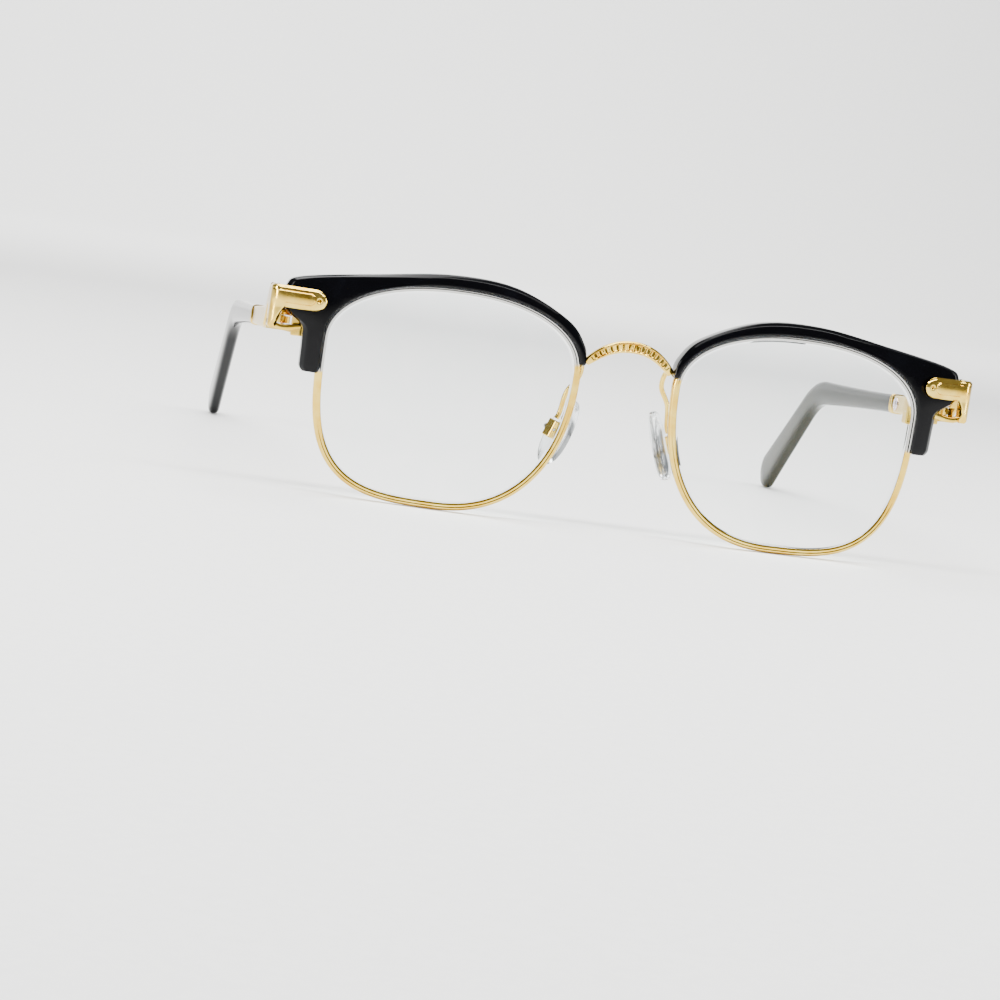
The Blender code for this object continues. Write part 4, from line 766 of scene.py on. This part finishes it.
# %% Temple tips
PADDLE = 4.4 * MM
bend_drop = BEND_RADIUS * (math.cos(DROP_ANGLE) - math.cos(DROP_ANGLE + BEND))
bend_z = HINGE[2] - STRAIGHT * math.sin(DROP_ANGLE) - bend_drop
paddle_run = (bend_z - PADDLE) / math.sin(DROP_ANGLE + BEND)
paddle_at = STRAIGHT + ARC + paddle_run
tail = np.sin(np.linspace(0, 1, 25) * np.pi / 2 * 0.985)[1:]
head = np.array([0.0, 0.04, 0.1, 0.2, 0.35]) * MM
stations = np.concatenate([TIP_START + head, np.linspace(TIP_START + 0.8 * MM, paddle_at, 150),
                           paddle_at + PADDLE * tail])
grown = np.clip((stations - TIP_START) / (paddle_at - TIP_START), 0, 1) ** 1.8
ending = np.sqrt(1 - np.clip((stations - paddle_at) / PADDLE, 0, 1) ** 2)
start_round = np.interp(stations - TIP_START, head, [0.86, 0.93, 0.97, 0.99, 1.0])
half_up = (2.0 * MM + (PADDLE - 2.0 * MM) * grown) * ending * start_round
half_out = 1.5 * MM * ending ** 0.35 * start_round
wide = np.sign(cx) * np.abs(cx) ** 0.6 * half_out[:, None]
tall = np.sign(sx) * np.abs(sx) ** 0.6 * half_up[:, None]
tip = temple(stations[:, None], MIDDLE + wide, tall)
for word, side in SIDES:
    dress(skin(f"temple_tip_fine_{word}", mirror(tip, side)), f"temple_{word}", "black_acetate",
          acetate, f"temple_tip_{word}")

# %% [markdown]
# ## Pieces that keep their shape
# The hinge's knuckles, the closing blocks, the screws and the works of the spring are already
# right in the frame, so each only gets a finish.

# %% Finishes for the rest
FINISHES = (("endpiece", polished_gold), ("closing_block", polished_gold),
            ("closing_screw", screw_steel), ("brow_screw_nasal", screw_steel),
            ("brow_screw_temporal", screw_steel), ("hinge_screw", screw_steel),
            ("pad_box", polished_gold), ("pad_screw", screw_steel),
            ("hinge_tongue", polished_gold), ("hinge_spring", screw_steel),
            ("spring_nut", screw_steel), ("temple_core", screw_steel))
for stem, material in FINISHES:
    for word, _ in SIDES:
        for material_slot in frame["nodes"][f"{stem}_{word}"].material_slots:
            material_slot.material = material
print("finishes on", 2 * len(FINISHES), "frame nodes")

# %% [markdown]
# ## Floor, backdrop and light
# A plain pale sheet lies under the glasses and curves up behind them. A large soft lamp hangs
# above, and a long narrow one in front of it draws the bright lines on the polished edges. A
# narrow lamp stands at each side, one lights the backdrop, and the sheet fills the shadows.

# %% Floor and backdrop
FLOOR_FRONT, FLOOR_BACK, CURVE, WALL_TOP, HALF_WIDTH = -1.2, 1.4, 0.8, 2.6, 2.2   # metres
UNDER = 0.0001                           # sheet's top below the frame's feet, metres
run = np.linspace(0, 1, 60)
flat_share = 0.6
rolled = np.clip((run - flat_share) / (1 - flat_share), 0, 1) * np.pi / 2
sweep_y = np.where(run < flat_share, FLOOR_FRONT + run / flat_share * (FLOOR_BACK - FLOOR_FRONT),
                   FLOOR_BACK + CURVE * np.sin(rolled))
sweep_z = CURVE * (1 - np.cos(rolled))
sweep_y = np.append(sweep_y, sweep_y[-1])
sweep_z = np.append(sweep_z, WALL_TOP) - UNDER
sheet_x = np.linspace(-HALF_WIDTH, HALF_WIDTH, 12)
points = np.stack(np.broadcast_arrays(sheet_x[None], sweep_y[:, None], sweep_z[:, None]), -1)
cols = len(sheet_x)
first = (np.arange(len(sweep_y) - 1)[:, None] * cols + np.arange(cols - 1)[None]).reshape(-1)
quads = np.stack([first, first + 1, first + cols + 1, first + cols], -1)
mesh = bpy.data.meshes.new("pale_sheet")
mesh.from_pydata(points.reshape(-1, 3).tolist(), [], quads.tolist())
mesh.shade_smooth()
sheet = bpy.data.objects.new("pale_sheet", mesh)
bpy.context.scene.collection.objects.link(sheet)
paper, tree, shader, place = start_material("pale_paper")
grain = add(tree, "TexNoise", {"Vector": place, "Scale": per_metre(2), "Detail": 4.0})
tree.links.new(ramp(tree, grain.outputs["Fac"], [(0.3, "#EFEFED"), (0.7, "#F3F3F1")]),
               shader.inputs["Base Color"])
shader.inputs["Roughness"].default_value = 0.6
mesh.materials.append(paper)
print("sheet of", len(quads), "faces")


# %% Lamps
def lamp(name, place, target, size, power):
    """A rectangular soft lamp, size wide and deep, that looks from its place to a target."""
    data = bpy.data.lights.new(name, "AREA")
    data.shape, data.energy = "RECTANGLE", power
    data.size, data.size_y = size
    item = bpy.data.objects.new(name, data)
    item.location = place
    item.rotation_euler = (Vector(target) - Vector(place)).to_track_quat("-Z", "Y").to_euler()
    bpy.context.scene.collection.objects.link(item)


lamp("lamp_above", (-0.1, 0.3, 1.0), (0, 0.1, 0), (1.0, 0.7), 20.0)
lamp("lamp_strip", (0.0, -0.35, 0.7), (0, -0.07, 0.03), (1.1, 0.12), 14.0)
lamp("lamp_left", (-0.7, -0.2, 0.2), (0, -0.07, 0.03), (0.12, 0.4), 5.0)
lamp("lamp_right", (0.7, -0.15, 0.2), (0, -0.07, 0.03), (0.12, 0.4), 3.5)
lamp("lamp_backdrop", (0.0, 0.9, 0.9), (0, 2.2, 0.5), (1.6, 0.5), 46.0)
world = bpy.data.worlds.new("studio")
world.use_nodes = True
world.node_tree.nodes["Background"].inputs["Color"].default_value = colour("#EEF1F5")
world.node_tree.nodes["Background"].inputs["Strength"].default_value = 0.35
bpy.context.scene.world = world
print("lamps ready")
